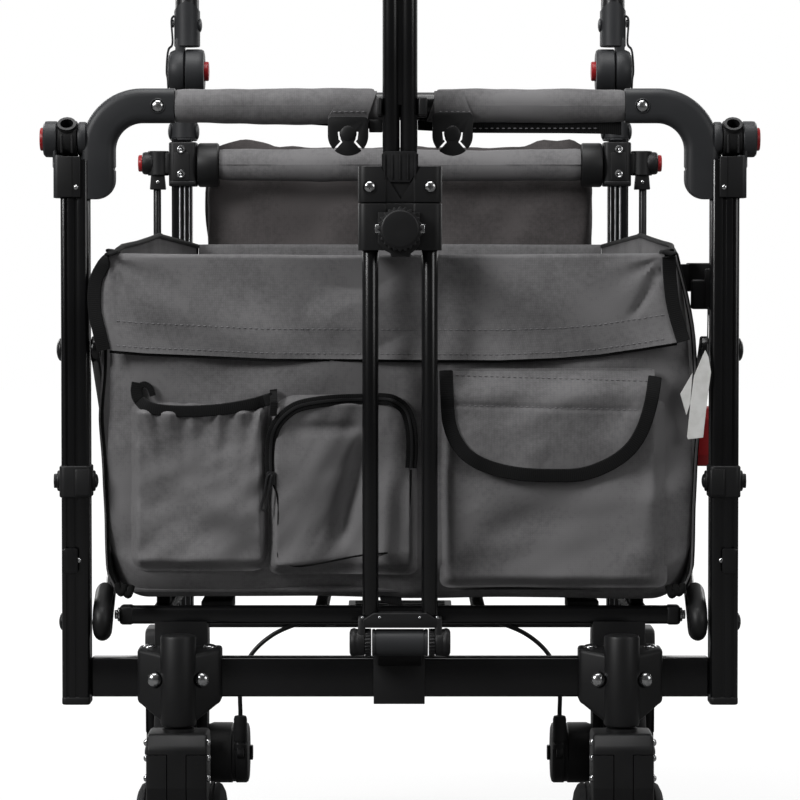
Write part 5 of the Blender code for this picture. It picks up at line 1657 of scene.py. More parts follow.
# Foot of the pull handle: saddle on the cross tube, barrel between knurled rings, round end caps
pullFoot = {"barrelRadius": 12.1, "ringRadius": 12.5, "capRadius": 13.0, "teeth": 24, "yoke": (13.9, 27.3),
    "tubeX": 26.6, "tubeRadius": 7.3}


def makePullFoot():
    p = pullFoot
    y, z = pullY, pullHingeZ
    saddle = block((-24, 22.5), (frontY - 14.2, frontY - 10.4), (266, 311.6), 0.5, 2)
    neck = slab("x", [(y + 2, z - 9, 3), (frontY - 12, 299.5, 1), (frontY - 12, z + 3, 1),
        (y + 2, z + 4, 3)], -19.8, 19.8, 1.4)
    done(joined(saddle, neck), "pull_bracket_saddle", blackNylon, "front_frame",
        "black_plastic", "pull_bracket")
    r = p["barrelRadius"]
    half = [(r - 0.8, 25.2), (r, 24.5), (r, 22.6), (r - 0.6, 22.2), (r - 0.6, 21.6), (r, 21.2)]
    barrel = turned("x", (y, z), [(radius, -level) for radius, level in half] + half[::-1], 48)
    done(barrel, "pull_bracket_barrel", greyNylon, "front_frame", "black_plastic")

    parts = []
    for side in (-1, 1):
        teeth = []
        for step in range(p["teeth"] * 4):
            turn = 2 * math.pi * step / (p["teeth"] * 4)
            out = p["ringRadius"] - (0.9 if step % 4 in (1, 2) else 0)
            teeth.append((y + out * math.cos(turn), z + out * math.sin(turn)))
        parts.append(plate("x", teeth, *sorted((side * 25.9, side * 31.4)), 0.3, 1))
        parts.append(rod("x", (y, z), p["capRadius"], side * 37.4, side * 45.4, 3.6, 44))
        parts.append(rod("x", (y, z), p["capRadius"] - 0.8, side * 31.6, side * 40, 1.2, 44))
        ear = arcPoints((y, z), 11.4, 205, 335, 14) + [(y + 8.8, z + 20), (y + 7, z + 23.5),
            (y - 7, z + 23.5), (y - 8.8, z + 20)]
        parts.append(plate("x", ear, *sorted((side * 31.2, side * 37.8)), 1.4))
    low, high = p["yoke"]
    yoke = [(-33.8, z + low, 1.2), (33.8, z + low, 1.2), (33.8, z + high - 6, 3), (24, z + high, 3),
        (-24, z + high, 3), (-33.8, z + high - 6, 3)]
    parts.append(slab("y", yoke, y - 9.3, y + 9.3, 1.6, 3))
    done(joined(*parts), "pull_tubes_yoke", blackNylon, "pull_tubes", "black_plastic", angle=40)
    screws = [dome("y", (x, z + 23.4), 1.5, y - 9.0, y - 10.4, 14) for x in (-34, -18.4, 17.6, 33.4)]
    done(joined(*screws), "pull_tubes_yoke_screws", zinc, "pull_tubes", "frame_paint")
    tubes = [rod("z", (side * p["tubeX"], y), p["tubeRadius"], z + 23.6, 705, 2.4, 40) for side in (-1, 1)]
    done(joined(*tubes), "pull_tubes_pair", paint, "pull_tubes", "frame_paint", "pull_tubes")


# Clamp block of the pull handle, its knob and the twin pole that slides in it
pullBlock = {"half": 37.5, "halfDepth": 13, "z": (678, 753), "splitZ": 720.4, "slot": (15.9, 7.9),
    "rivets": (-27, 27), "rivetZ": 734.7}
pullKnob = {"radius": 20.2, "teeth": 24, "depth": (pullY - 30.2, pullY - 16.6), "faceRadius": 16.8}
pullPole = {"rodX": 7.95, "rodRadius": 7.72, "z": (686, 1150), "gripHalf": 62, "gripRadius": 15}


def makePullBlock():
    p = pullBlock
    half, depth, y = p["half"], p["halfDepth"], pullY
    low, high = p["z"]
    plan = [(-half, y - depth, 7), (-12.8, y - depth, 1.5), (-12.2, y - depth + 1.3, 0.5),
        (12.2, y - depth + 1.3, 0.5), (12.8, y - depth, 1.5), (half, y - depth, 7),
        (half, y + depth, 6), (-half, y + depth, 6)]
    upper = slab("z", plan, p["splitZ"] + 0.6, high, 1.3, 3)
    lower = slab("z", plan, low, p["splitZ"] - 0.6, 1.3, 3)
    core = block((-half + 2, half - 2), (y - depth + 2.4, y + depth - 2),
        (p["splitZ"] - 4, p["splitZ"] + 4))
    shell = fuse(upper, lower, core)
    cut(shell, plate("y", [(-20, 757), (-13.2, 746), (0.6, 723.6), (14.4, 746), (21, 757)], y - 30,
        y - 9.6))
    tab = [(-19.8, 712, 1), (-19.8, 684, 2), (-14.4, 678.4, 2), (-8.6, 675.4, 1), (-7.8, 672.2, 1),
        (9.0, 672.2, 1), (9.8, 675.4, 1), (14, 678.4, 2), (18, 684, 2), (18, 712, 1)]
    fuse(shell, slab("y", tab, y - 15.8, y - 6, 0.8))
    wide, deep = p["slot"]
    cut(shell, block((-wide, wide), (y - deep, y + deep), (600, 800)),
        rod("y", (0, knobZ), 4.6, y - 30, y, 0.2, 24))
    done(shell, "pull_tubes_block", blackNylon, "pull_tubes", "black_plastic", angle=32)

    # ribbed boot on the block's top, around the pole
    boot = [(-15.3, 766.5, 3.5), (15.3, 766.5, 3.5), (15.3, 747.5, 2), (8.6, 738.6, 1),
        (-8.6, 738.6, 1), (-15.3, 747.5, 2)]
    walls = [slab("y", boot, y - 12.2, y - 8.2, 0.9), slab("y", boot, y + 8.2, y + 11.2, 0.9)]
    walls += [block(sorted((side * 15.75, side * 16.3)), (y - 9, y + 9), (748.5, 764.4), 0.2)
        for side in (-1, 1)]
    walls += [block((x - 0.8, x + 0.8), (y - 13.3, y - 11.8), (741, 763.6), 0.5)
        for x in (-13.6, -6.9, 0.0, 6.9, 13.6)]
    done(joined(*walls), "pull_tubes_boot", rubber, "pull_tubes", "tyre", angle=30)

    heads, seats = [], []
    for x in p["rivets"]:
        head = dome("y", (x, p["rivetZ"]), 5.0, y - depth + 0.4, y - depth - 2.4, 32)
        heads.append(crossSlot(head, x, y - depth - 2.4, p["rivetZ"], 5.2, 1.2))
        seats.append(turned("y", (x, p["rivetZ"]), [(5.4, y - depth + 0.3), (6.6, y - depth + 0.3),
            (6.3, y - depth - 0.5), (5.6, y - depth - 0.5)], 32, closed=True))
    heads.append(block((-22.4, 22.4), (y - 15.9, y - 12), (693.2, 701.2), 0.8))
    for side in (-1, 1):
        for z in (p["rivetZ"], 697):
            heads.append(dome("y", (side * p["rivets"][1], z), 5.0, y + depth - 0.4, y + depth + 2.2, 24))
    done(joined(*heads), "pull_tubes_rivets", zinc, "pull_tubes", "frame_paint")
    done(joined(*seats), "pull_tubes_rivet_seats", blackNylon, "pull_tubes", "black_plastic")

    # knob with fine teeth round its rim
    k = pullKnob
    near, far = k["depth"]
    count = k["teeth"] * 8
    rim = []
    for step in range(count):
        turn = 2 * math.pi * step / count
        out = k["radius"] - 1.1 + 1.1 * math.cos(k["teeth"] * turn)
        rim.append((out * math.cos(turn), knobZ + out * math.sin(turn)))
    body = plate("y", rim, near, far, 0.7, 2)
    face = turned("y", (0, knobZ), [(k["faceRadius"], near + 0.6), (k["faceRadius"], near - 0.3),
        (k["faceRadius"] - 0.8, near - 0.9), (15, near - 1.1), (5, near - 0.9), (1, near - 0.8)], 64)
    stem = rod("y", (0, knobZ), 4.0, far - 1, pullY - 9, 0.4, 24)
    done(joined(body, face, stem), "pull_knob_cap", blackNylon, "pull_knob",
        "black_plastic", "pull_knob", angle=30)


def makePullPole():
    p = pullPole
    low, high = p["z"]
    rods = [rod("z", (side * p["rodX"], pullY), p["rodRadius"], low, high - 3, 0.8, 40) for side in (-1, 1)]
    ties = [block((-3, 3), (pullY - 4.5, pullY + 4.5), span, 0.6) for span in ((690, 758), (808, 1132))]
    done(joined(*rods, *ties), "pull_pole_rods", paint, "pull_pole", "frame_paint", "pull_pole")
    half, radius = p["gripHalf"], p["gripRadius"]
    profile = [(12.4, -half + 0.2), (14.4, -half + 0.8), (radius - 0.2, -half + 3),
        (radius - 0.2, -half + 7)]
    for step in range(9):
        x = -48 + 12 * step
        profile += [(13.6, x - 4.4), (14.3, x - 2.6), (14.5, x), (14.3, x + 2.6), (13.6, x + 4.4)]
    profile += [(radius, -level) for radius, level in profile[3::-1]]
    grip = turned("x", (pullY, high), profile, 48)
    yoke = slab("y", [(-17, high - 36, 4), (17, high - 36, 4), (19, high - 4, 3), (-19, high - 4, 3)],
        pullY - 9.6, pullY + 9.6, 2.4, 3)
    done(joined(grip, yoke), "pull_pole_grip", rubber, "pull_pole", "tyre", angle=30)


# Rear posts with their clamps, canopy fittings and the lower halves of the handle's hinges
rearPost = {"x": (235.6, 258.4), "halfDepth": 14, "z": (250.4, 805.6),
    "grooves": ((248.9, 3.4, 2.0), (243.5, 2.4, 1.6), (238.2, 1.6, 1.0)), "sleeveX": 245, "hingeRadius": 25,
    "clampX": (229.8, 261.4), "clampZ": (751.8, 801.6), "rivets": (793.2, 765.4), "rivetX": 247.2,
    "ringX": 274, "ringZ": (764.2, 791.8), "rodX": 275.4, "buttonZ": 778}


def makeRearPost():
    p = rearPost
    near, far = p["x"]
    front, back = rearY - p["halfDepth"], rearY + p["halfDepth"]
    post = slab("z", boxPoints((near, far), (front, back), 3.4), *p["z"])
    strips = []
    for x, width, depth in p["grooves"]:
        for face, way in ((front, 1), (back, -1)):
            cut(post, block((x - width / 2, x + width / 2),
                sorted((face - way * 5, face + way * depth)), (200, 900)))
            strips.append(rod("z", (x, face + way * width * 0.5), width * 0.42, p["z"][0] + 2,
                p["z"][1] - 40, 0.2, 16))
    bevelled(post, 0.4, 1)
    pins = [rod("x", (rearY, highPivotZ), 9, 257, 262.5, 1.2, 32),
        dome("x", (rearY, highPivotZ), 7.4, 271.5, 274.3),
        rod("x", (rearY, lowPivotZ), 10, 257, 272.0, 1.2, 32),
        dome("x", (rearY, lowPivotZ), 8.8, 281.0, 283.9)]
    doneBothSides(joined(post, *pins), "rear_post_%s_tube", paint, "rear_frame",
        "frame_paint", "rear_post_%s")
    # pale metal rods in the grooves, put there as painted highlights of the grooves' edges
    doneBothSides(joined(*strips), "rear_post_%s_strips", paintedHighlightMetal, "rear_frame", "frame_paint")

    # sleeve under the hinge, with its two oval stops, and the hinge half
    x, hingeZ = p["sleeveX"], handleHingeZ
    sleeveTop = hingeZ - p["hingeRadius"] - 1.6
    sleeve = turned("z", (x, rearY), [(14.2, 803.2), (15.4, 804.2), (15.4, 805.6), (14.8, 806.2),
        (15.4, 806.8), (15.4, sleeveTop - 1.5), (14, sleeveTop)], 44)
    stops = [dome("x", (rearY, 814), 9.4, x + 14, x + 18.0, 28),
        dome("x", (rearY, 814), 9.4, x - 14, x - 17.6, 28)]
    web = block((229.2, 242.4), (rearY - 11.8, rearY + 11.8), (845, hingeZ), 3.0)
    r = p["hingeRadius"]
    half = turned("x", (rearY, hingeZ), [(11.6, 221.6), (20, 221.2), (23.2, 222.0), (r - 0.2, 224.6),
        (r, 229), (r, 241.4), (r - 0.8, 242.4), (7.0, 242.4), (7.0, 227), (11.6, 226.6)], 56, closed=True)
    doneBothSides(joined(sleeve, *stops, web, half), "rear_post_%s_hinge", greyNylon, "rear_frame",
        "grey_plastic", angle=30)

    # clamp that ties post, bar and canopy fitting together
    def postCore():
        return block((near - 0.3, far + 0.3), (front - 0.3, back + 0.3), (700, 900))

    low, high = p["clampZ"]
    a, b = p["clampX"]
    clamp = slab("z", boxPoints((a, b), (rearY - 17.6, rearY + 17.6), 6), low, high, 1.6, 3)
    cut(clamp, postCore())
    pad = slab("y", boxPoints((238, a + 26), (758, 790), 2), rearY - 18.4, rearY - 16, 0.7)
    lip = block((a + 1, b - 1), (rearY - 18.0, rearY + 18.0), (low + 1.5, low + 6), 1.2)
    cut(lip, postCore())
    doneBothSides(joined(clamp, pad, lip), "rear_clamp_%s_body", blackNylon, "rear_frame", "black_plastic",
        "rear_clamp_%s", angle=30)
    heads = []
    for z in p["rivets"]:
        heads.append(turned("y", (p["rivetX"], z), [(2.3, rearY - 17.8), (4.8, rearY - 17.8),
            (4.9, rearY - 18.8), (4.2, rearY - 19.8), (3.1, rearY - 20.1), (2.4, rearY - 19.6)], 32,
            closed=True))
        heads.append(dome("y", (p["rivetX"] + 0.4, z), 1.9, rearY - 17.8, rearY - 19.4, 16))
        heads.append(dome("y", (p["rivetX"], z), 4.6, rearY + 17.4, rearY + 19.6, 24))
    doneBothSides(joined(*heads), "rear_clamp_%s_rivets", zinc, "rear_frame", "frame_paint")

    # canopy fitting: upright ring, outer button seat, tapered foot and thin rod
    x = p["ringX"]
    low, high = p["ringZ"]
    ring = turned("z", (x, rearY), [(6.5, low), (11.4, low), (12, low + 0.8), (12, high - 0.8),
        (11.4, high), (6.5, high)], 44, closed=True)
    seat = turned("x", (rearY, p["buttonZ"]), [(9.9, 281), (11.4, 280), (12.6, 282), (12.8, 288.5),
        (12.2, 291), (11, 292), (9.9, 291.8)], 40, closed=True)
    floor = rod("x", (rearY, p["buttonZ"]), 10.4, 279, 288.4, 0.4, 32)
    link = block((258, 266), (rearY - 10, rearY + 10), (766, 790), 1.6)
    foot = slab("y", [(265.6, 748.2, 1), (283.4, 748.2, 1), (281.8, 766.8, 1), (267.4, 766.8, 1)],
        rearY - 8.2, rearY + 8.2, 1.2)
    doneBothSides(joined(ring, seat, floor, link, foot), "canopy_socket_rear_%s_body", blackNylon,
        "rear_frame", "black_plastic", "canopy_socket_rear_%s", angle=30)
    thin = rod("z", (p["rodX"], rearY), 4.4, 599, 749, 1.4, 28)
    doneBothSides(thin, "canopy_socket_rear_%s_rod", satinPaint, "rear_frame", "frame_paint")
    screw = dome("y", (x + 0.4, 756.8), 2.3, rearY - 8.0, rearY - 9.8, 18)
    doneBothSides(screw, "canopy_socket_rear_%s_screw", zinc, "rear_frame", "frame_paint")
    button = turned("x", (rearY, p["buttonZ"]), [(9.0, 289.6), (9.5, 290), (9.5, 295.4), (8.8, 296.5),
        (5, 296.9), (1, 296.9)], 36)
    doneBothSides(button, "ring_button_%s_cap", redNylon, "ring_button_%s", "red_plastic", "ring_button_%s")


# Push handle: bent tube with its sleeves, upper hinge halves with outer straps, red buttons and foam grip
pushHandle = {"tubeX": 241, "tubeRadius": 13.4, "kneeZ": 958, "topZ": 1072, "lean": 34, "kneeRadius": 90,
    "cornerRadius": 48, "gripHalf": 168, "gripRadius": 17, "sleeveRadius": 14.7, "sleeveZ": (909.5, 960),
    "strap": [(255.7, 945), (258.8, 938.7), (257.6, 914), (262.0, 907), (263.8, 896), (264.4, 881),
    (263.2, 873), (262.6, 862)]}


def makePushHandle():
    p = pushHandle
    x, lean, top = p["tubeX"], rearY + p["lean"], p["topZ"]
    halves = []
    for side in (1, -1):
        knee, corner = (side * x, rearY, p["kneeZ"]), (side * x, lean, top)
        first = (side * x, rearY, 912)
        halves.append([Vector(first), *bend(knee, first, corner, p["kneeRadius"], 8),
            *bend(corner, knee, (0, lean, top), p["cornerRadius"], 14)])
    tube = curveTube([*halves[0], *reversed(halves[1])], p["tubeRadius"], 10)
    done(tube, "push_handle_tube", satinPaint, "push_handle", "grey_plastic", "push_handle")
    half, radius = p["gripHalf"], p["gripRadius"]
    profile = [(14.2, -half), (16.2, -half + 1.2), (radius, -half + 4)]
    for step in range(-5, 6):
        profile += [(radius, step * 27 - 3), (radius - 0.5, step * 27 - 1.4),
            (radius - 0.5, step * 27 + 1.4), (radius, step * 27 + 3)]
    grip = turned("x", (lean, top), profile + [(radius, -level) for radius, level in profile[2::-1]], 52)
    done(grip, "push_handle_grip", rubber, "push_handle", "tyre", angle=30)

    low, high = p["sleeveZ"]
    r = p["sleeveRadius"]
    sleeve = turned("z", (x, rearY), [(r - 1.2, low), (r, low + 1), (r, high)], 48)
    arch = [(x + a, high - 10.5 * (a / r) ** 2) for a in (step * r * 1.02 / 12 for step in range(-12, 13))]
    cut(sleeve, plate("y", [(x - 24, high + 30), (x - 24, arch[0][1])] + arch + [(x + 24, arch[-1][1]),
        (x + 24, high + 30)], rearY - 40, rearY + 40))
    web = slab("x", [(rearY - 12, 884, 4), (rearY + 12, 884, 4), (rearY + 11, 920, 4),
        (rearY - 11, 920, 4)], 243.4, 254, 1.6)
    hinge = (rearY, handleHingeZ)
    disc = turned("x", hinge, [(22, 243.4), (24.4, 244.6), (25, 246.8), (25, 251), (24.2, 255),
        (22.8, 258.4), (21.2, 260.4), (18.8, 260.4), (18.4, 261.6), (11, 262.6), (1, 262.8)], 56)
    core = rod("x", hinge, 5.8, 227, 250, 0.6, 28)
    bow = plate("y", strokeOutline(smoothPairs(p["strap"]), 1.8), rearY - 5, rearY + 5, 0.5, 1)
    stop = dome("x", (rearY, 936), 4.6, 256, 259.6, 20)
    knob = dome("x", (rearY, 934), 8.0, 227.4, 224.0, 24)
    doneBothSides(joined(sleeve, web, disc, core, bow, stop, knob), "push_handle_hinge_%s", greyNylon,
        "push_handle", "grey_plastic", angle=30)
    button = turned("x", hinge, [(10.4, 224), (11, 223.6), (11, 217.6), (10.2, 216.5),
        (6, 216.1), (1, 216.1)], 36)
    doneBothSides(button, "handle_button_%s_cap", redNylon, "handle_button_%s",
        "red_plastic", "handle_button_%s")


# Rear wheels, their housings, drum brakes and cables
rearWheel = {"y": rearY + 20, "radius": 104, "x": (233, 277), "housingX": (219.2, 289.8),
    "legs": ((219.6, 229.4), (280.6, 289.4)), "legRadius": 19, "drumX": (172.2, 219.4), "drumRadius": 34.6,
    "cableX": 181.5, "cableRadius": 2.5, "cable": [(181.5, 364, 151.4), (181, 363, 185), (170, 359, 219),
    (145, 359, 243), (112, 361, 257), (84.4, 362, 261.5)]}


def makeRearWheels():
    p = rearWheel
    y, z = p["y"], p["radius"]
    near, far = p["x"]
    tyre = wheelRing(rearWheelShape, "tyre", (y, z), near, far)
    doneBothSides(tyre, "rear_wheel_%s_tyre", rubber, "rear_wheel_%s", "tyre", "rear_wheel_%s", angle=30)
    rim = wheelRim(rearWheelShape, (y, z), near, far)
    doneBothSides(rim, "rear_wheel_%s_rim", blackNylon, "rear_wheel_%s", "black_plastic", angle=30)

    # housing: a crown over the tyre, two legs down to the axle, the drum on the inner side
    a, b = p["housingX"]
    crown = slab("x", [(y - 39.6, 214, 8), (y + 29.6, 214, 8), (y + 27, 249.4, 12), (y - 34, 249.4, 10)], a,
        b, 3.0, 3)
    legs = []
    for low, high in p["legs"]:
        leg = arcPoints((y, z), p["legRadius"], 195, 345, 18) + [(y + 24, 214), (y + 24, 236),
            (y - 30, 236), (y - 30, 214)]
        legs.append(plate("x", leg, low, high, 1.8, 2))
    fuse(crown, *legs)
    ribs = [slab("x", [(y - 24, 130, 3), (y - 16, 130, 3), (y - 14, 206, 3), (y - 28, 206, 3)], b - 1.2,
        b + 0.1, 0.4)]
    r = p["drumRadius"]
    low, high = p["drumX"]
    drum = [(14, low), (29, low + 0.4), (33, low + 1.6), (r, low + 4), (r, low + 15), (r - 1.2, low + 16),
        (r - 1.2, low + 19), (r, low + 20), (r, high - 6), (r - 2, high - 0.6), (12, high)]
    drum = turned("x", (y, z), drum, 60)
    cx = p["cableX"]
    boot = turned("z", (cx, y - 34), [(6.8, 112), (7.6, 113), (7.6, 118), (6.9, 119), (6.9, 121),
        (7.6, 122), (7.6, 147), (6.6, 150.2), (2.8, 151.2)], 32)
    arm = slab("x", [(y - 42, 106, 4), (y - 26, 96, 6), (y - 20, 120, 4), (y - 40, 124, 4)], cx - 4, cx + 4,
        1.2)
    doneBothSides(joined(crown, *ribs, drum, arm), "wheel_housing_%s_body", blackNylon, "rear_frame",
        "black_plastic", "wheel_housing_%s", angle=30)
    doneBothSides(boot, "wheel_housing_%s_cable_boot", rubber, "rear_frame", "tyre", angle=30)
    axle = [rod("x", (y, z), 6.0, 214, 285, 1.0, 28), dome("x", (y, z), 9.0, 289.2, 293.0, 28),
        plate("x", [(y + q, z + w) for q, w in arcPoints((0, 0), 9.5, 0, 300, 5)], 168.6, 172.6, 0.7)]
    doneBothSides(joined(*axle), "wheel_housing_%s_axle", darkSteel, "rear_frame", "frame_paint")
    cable = curveTube(smoothLine(p["cable"], 8), p["cableRadius"], 5)
    doneBothSides(cable, "brake_cable_%s_sheath", sheath, "rear_frame", "cable_sheath", "brake_cable_%s")


# Rear cross tube with its saddles, and the brake pedal on it
rearTube = {"z": (250.7, 271.8), "half": 234.8, "saddleY": rearY - 18, "pedalY": rearY + 26, "pedalZ": 261}


def makeRearTube():
    p = rearTube
    tube = block((-p["half"], p["half"]), (rearY - 10.8, rearY + 10.8), p["z"], 2.6, 4)
    parts = [tube, rod("x", (p["pedalY"], p["pedalZ"]), 4.8, -70.6, 70.6, 0.8, 28)]
    for side in (-1, 1):
        parts.append(block(sorted((side * 64.2, side * 69.8)),
            (rearY + 4, rearY + 35), (252.2, 269.8), 1.6))
        parts.append(block(sorted((side * 72.2, side * 83.8)),
            (rearY - 22.8, rearY - 8), (254.2, 268.8), 2.0))
        near, far = p["saddleY"] - 10.8, p["saddleY"] + 10.8
        saddle = slab("x", [(near, 258, 3), (far, 258, 3), (far, 339.6, 2), (near, 339.6, 2)],
            *sorted((side * 196.2, side * 207.8)), 1.2)
        parts.append(cut(saddle, rod("x", (p["saddleY"], lowPivotZ + 4.5), 9.9,
            side * 180, side * 220, 0.2, 32)))
    done(joined(*parts), "rear_cross_tube_rail", paint, "rear_frame", "frame_paint", "rear_cross_tube")
    tread = [(0, 9, 3), (-8, 4, 3), (-8, -5, 3), (0, -9, 3), (22, -6, 6), (60, 4, 2),
        (62, 10, 2), (56, 12, 2), (20, 4, 8)]
    tread = plate("x", roundOutline([(p["pedalY"] + a, p["pedalZ"] + b, r) for a, b, r in tread], 4), -59.6,
        59.6, 1.4)
    barrel = turned("x", (p["pedalY"], p["pedalZ"]), [(5.6, -63.3), (9.3, -63.3), (9.5, -62.6), (9.5, 62.6),
        (9.3, 63.3), (5.6, 63.3)], 36, closed=True)
    ribs = []
    for step in range(5):
        y = p["pedalY"] + 28 + 6 * step
        z = p["pedalZ"] + 5.6 + 1.35 * step
        ribs.append(block((-52, 52), (y - 1.2, y + 1.2), (z - 2, z + 1.2), 0.7))
    done(joined(tread, barrel, *ribs), "brake_pedal_tread", blackNylon, "brake_pedal",
        "black_plastic", "brake_pedal", angle=30)


# Folding sides: rails and links as flat tubes, with moulded boots and pinned ends
sideFrame = {"inner": (263.1, 270.9), "outer": (272.6, 280.4), "half": 10.9, "endRadius": 12.4,
    "bootRadius": 17.8, "bootEnd": 12.9, "bootLength": 42, "leverY": -277.5,
    "leverZ": 498.4, "holeRadius": 5.9}


def makeSideFrame():
    p = sideFrame
    frontLow, frontHigh, rearLow, rearHigh = (frontY, lowPivotZ), (frontY, highPivotZ), (rearY,
        lowPivotZ), (rearY, highPivotZ)
    midLow, midHigh = (middleY, lowPivotZ), (middleY, highPivotZ)
    inner, outer = p["inner"], p["outer"]

    def hole(centre):
        return rod("x", centre, p["holeRadius"], 240, 300, 0.1, 24)

    def bar(start, end, span, *holes):
        piece = plate("x", barOutline(start, end, p["half"], p["endRadius"]), *span)
        for centre in holes:
            cut(piece, hole(centre))
        return bevelled(piece, 2.0, 3, 50)

    def finishBar(piece, body):
        doneBothSides(piece, f"{body}_bar", paint, body, "frame_paint", body, angle=40)

    way = (Vector(midHigh) - Vector(frontLow)).normalized()
    square = Vector((-way.y, way.x))
    start, stop = Vector(frontLow), Vector(frontLow) + way * p["bootLength"]
    turn = math.degrees(math.atan2(square.y, square.x))
    boot = arcPoints(frontLow, p["bootRadius"], turn, turn + 180, 18)
    boot += [tuple(stop - square * p["bootEnd"]), tuple(stop + way * 5 - square * 6),
        tuple(stop + way * 5 + square * 6), tuple(stop + square * p["bootEnd"])]
    boot = cut(pillow("x", boot, 263.1, 279.8, tuple(start + way * 12), 0.36, 12), hole(frontLow))
    tongue = [tuple(start + way * a + square * b) for a,
        b in ((-8, -6), (-8, 6), (20, 5), (25, 0), (20, -5))]
    tongue = cut(slab("x", [(a, b, 3) for a, b in tongue], 262.8, 280.1, 0.8), hole(frontLow))
    link = joined(bar(frontLow, midHigh, inner, frontLow), rod("x", midHigh, 5, 266, 283, 0.5, 24),
        dome("x", midHigh, 8.8, 281.0, 283.9))
    finishBar(link, "link_front_%s")
    doneBothSides(joined(boot, tongue), "link_front_%s_boot", blackNylon, "link_front_%s",
        "black_plastic", angle=40)
    finishBar(bar(midHigh, rearLow, outer, midHigh, rearLow), "link_rear_%s")
    rail = joined(bar(frontHigh, midLow, outer, frontHigh), rod("x", midLow, 5, 261, 278, 0.5, 24),
        dome("x", midLow, 8.8, 262.5, 259.8))
    finishBar(rail, "rail_front_%s")
    finishBar(bar(midLow, rearHigh, inner, midLow, rearHigh), "rail_rear_%s")

    # red fold lever on the right front rail
    y, z = p["leverY"], p["leverZ"]
    paddle = [(-8, 32, 4), (-12, 20, 4), (-11, -14, 5), (-5, -25, 3), (5, -25, 3),
        (11, -14, 5), (12, 20, 4), (8, 32, 4)]
    lever = slab("x", [(y + a, z + b, r) for a, b, r in paddle], 281.2, 295.8, 2.2, 3)
    hollow = slab("x", [(y + a * 0.62, z + b * 0.7 + 1, 2) for a, b, r in paddle], 293.6, 300)
    cut(lever, hollow, rod("x", (y, z), 4.4, 270, 300, 0.1, 24))
    done(lever, "fold_lever_paddle", redNylon, "fold_lever", "red_plastic", "fold_lever", angle=35)
    pin = joined(rod("x", (y, z), 3.9, 276, 297.2, 0.5, 24), dome("x", (y, z), 5.2, 295.9, 298.0, 24))
    done(pin, "fold_lever_pin", darkSteel, "rail_front_right", "frame_paint")


# Floor frame halves with their boards
floorFrame = {"barZ": lowPivotZ + 4.5, "barRadius": 8.6, "reach": 335,
    "tubes": ((211.7, 227.8), (67.2, 78.8)), "tubeZ": (337.7, 351.3),
    "boardZ": (361.2, 365.6), "padZ": (349.4, 361.0)}


def makeFloorHalves():
    p = floorFrame
    for name, barY, way, half in (("floor_front_half", frontY + 18, 1, 257),
            ("floor_rear_half", rearY - 18, -1, 230)):
        z = p["barZ"]
        tip = barY + way * p["reach"]

        def span(near, far):
            return sorted((barY + way * near, barY + way * far))

        r = p["barRadius"] - 0.4
        parts = [block((-half + 0.4, half - 0.4), (barY - r, barY + r), (z - r, z + r), 4.0, 4),
            block((-227.8, 227.8), span(p["reach"] - 15, p["reach"]), (338.7, 350.3), 2.4)]
        pads, plates, caps = [], [], []
        for side in (-1, 1):
            for near, far in p["tubes"]:
                parts.append(block(sorted((side * near, side * far)),
                    span(3, p["reach"] - 4), p["tubeZ"], 3.0, 3))
            plates.append(block(sorted((side * 154.2, side * 182.8)), span(8, 70), (346, 356.4), 1.6))
            for place in (36, 300):
                pads.append(block(sorted((side * 213.2, side * 225.8)),
                    span(place, place + 22), p["padZ"], 2.6))
            caps.append(block(sorted((side * (half - 13.6), side * half)), (barY - 8.9, barY + 8.9),
                (z - 8.9, z + 8.9), 3.6, 4))
        done(joined(*parts), f"{name}_frame", paint, name, "frame_paint", name)
        board = block((-233.6, 233.6), span(24.4, p["reach"] - 2.4), p["boardZ"], 1.6)
        done(joined(board, *pads, *plates, *caps), f"{name}_board", blackNylon, name, "black_plastic")

    def strapPlace(u, v):
        x = -18.6 + 19.6 * u
        return (x + 1.4 * (1 - v), frontY + 14 - 3 * (1 - v), 353.4 + (1 - u) * 3.6 * (1 - v) + 8.2 * v)

    strap = clothGrid(16, 8, strapPlace, (20, 12), 1.8)
    done(strap, "floor_pull_strap", tape, "floor_front_half", "black_plastic")
    washers = [rod("x", (frontY + 18, p["barZ"]), radius, low, high, 0.4, 28) for radius, low,
        high in ((6.4, 256.6, 258.8), (4.2, 258.4, 261.6))]
    doneBothSides(joined(*washers), "floor_front_half_washers_%s", zinc, "floor_front_half", "frame_paint")


# Ring holder on the right post, the blank tag and the loose ends under the corners
ringHolder = {"x": 284.6, "y": frontY + 40, "z": (640.4, 666.6), "radii": (18.4, 21.4)}
hangTag = {"y": frontY - 17.2, "front": [(276, 588.2), (279, 582), (281.4, 568), (278.4, 546.2),
    (274.4, 508.8), (260.6, 507.2), (259.8, 509.6), (262.8, 540), (266, 565)],
    "back": [(264.6, 567.2), (253.6, 548.4), (259.2, 529), (263, 540)],
    "string": [(278, 582), (278.6, 592), (279.6, 604), (280.6, 616), (281.4, 626), (282.2, 616),
    (281.2, 604), (280, 592), (278.8, 582)]}


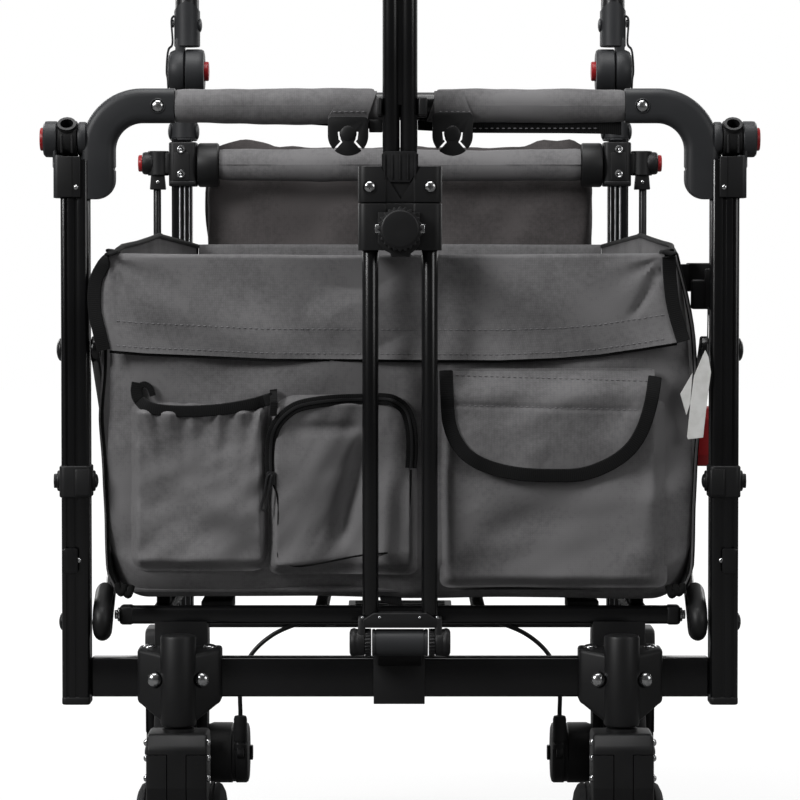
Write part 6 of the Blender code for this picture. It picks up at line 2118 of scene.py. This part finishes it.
def makeSmallThings():
    p = ringHolder
    x, y = p["x"], p["y"]
    low, high = p["z"]
    inside, outside = p["radii"]
    ring = turned("z", (x, y), [(inside, low + 0.8), (inside + 0.8, low), (outside - 0.8, low),
        (outside, low + 0.8), (outside - 0.4, low + 3), (outside - 0.4, high - 3), (outside, high - 0.8),
        (outside - 0.8, high), (inside + 0.8, high), (inside, high - 0.8)], 64, closed=True)
    tongue = block((254.5, 266.4), (y - 9, y - 6.2), (641.4, 665.6), 0.9)
    clip = block((278.2, 303.8), (frontY + 15.6, frontY + 20.4), (624.4, 661.6), 1.6)
    hook = block((266.2, 283.8), (y - 22.8, y - 12.2), (624.4, 651.6), 2.4)
    cut(hook, turned("z", (x, y), [(inside, 600), (inside, 700)], 48))
    done(joined(ring, tongue, clip, hook), "ring_holder_body", blackNylon, "front_frame",
        "black_plastic", "ring_holder", angle=35)

    t = hangTag
    front = plate("y", t["front"], t["y"] - 0.9, t["y"] - 0.3, 0.15, 1)
    back = plate("y", t["back"], t["y"] + 0.2, t["y"] + 0.8, 0.15, 1)
    done(joined(front, back), "hang_tag", card, "front_frame", "grey_fabric")
    string = curveTube(smoothLine([(a, t["y"] - 0.4 + 33 * max(0.0, (b - 584) / 42), b) for a,
        b in t["string"]], 5), 0.6, 3)
    done(string, "hang_tag_string", sheath, "front_frame", "cable_sheath")

    tabs = []
    for start, end in (((244, 373), (250.4, 364.6)), ((250.4, 373.4), (256.6, 366.4))):
        line = [(start[0], frontY - 6, start[1]), (start[0] + 1.4, frontY - 9, end[1] + 2.6),
            ((start[0] + end[0]) / 2, frontY - 10, end[1]), (end[0], frontY - 8, end[1] + 3),
            (end[0] + 0.6, frontY - 5, start[1] + 1)]
        tabs.append(curveTube(smoothLine(line, 5), 2.9, 4))
    doneBothSides(joined(*tabs), "basket_corner_loops_%s", tape, "front_frame", "black_plastic")


makeBarTrim()
makePullFoot()
makePullBlock()
makePullPole()
print("pull handle made")
makeRearPost()
makePushHandle()
print("rear posts and push handle made")
makeRearWheels()
makeRearTube()
print("rear wheels made")
makeSideFrame()
makeFloorHalves()
makeSmallThings()
done(joined(*threads), "basket_stitches", threadCloth, "front_frame", "grey_fabric")
print("folding frame made")
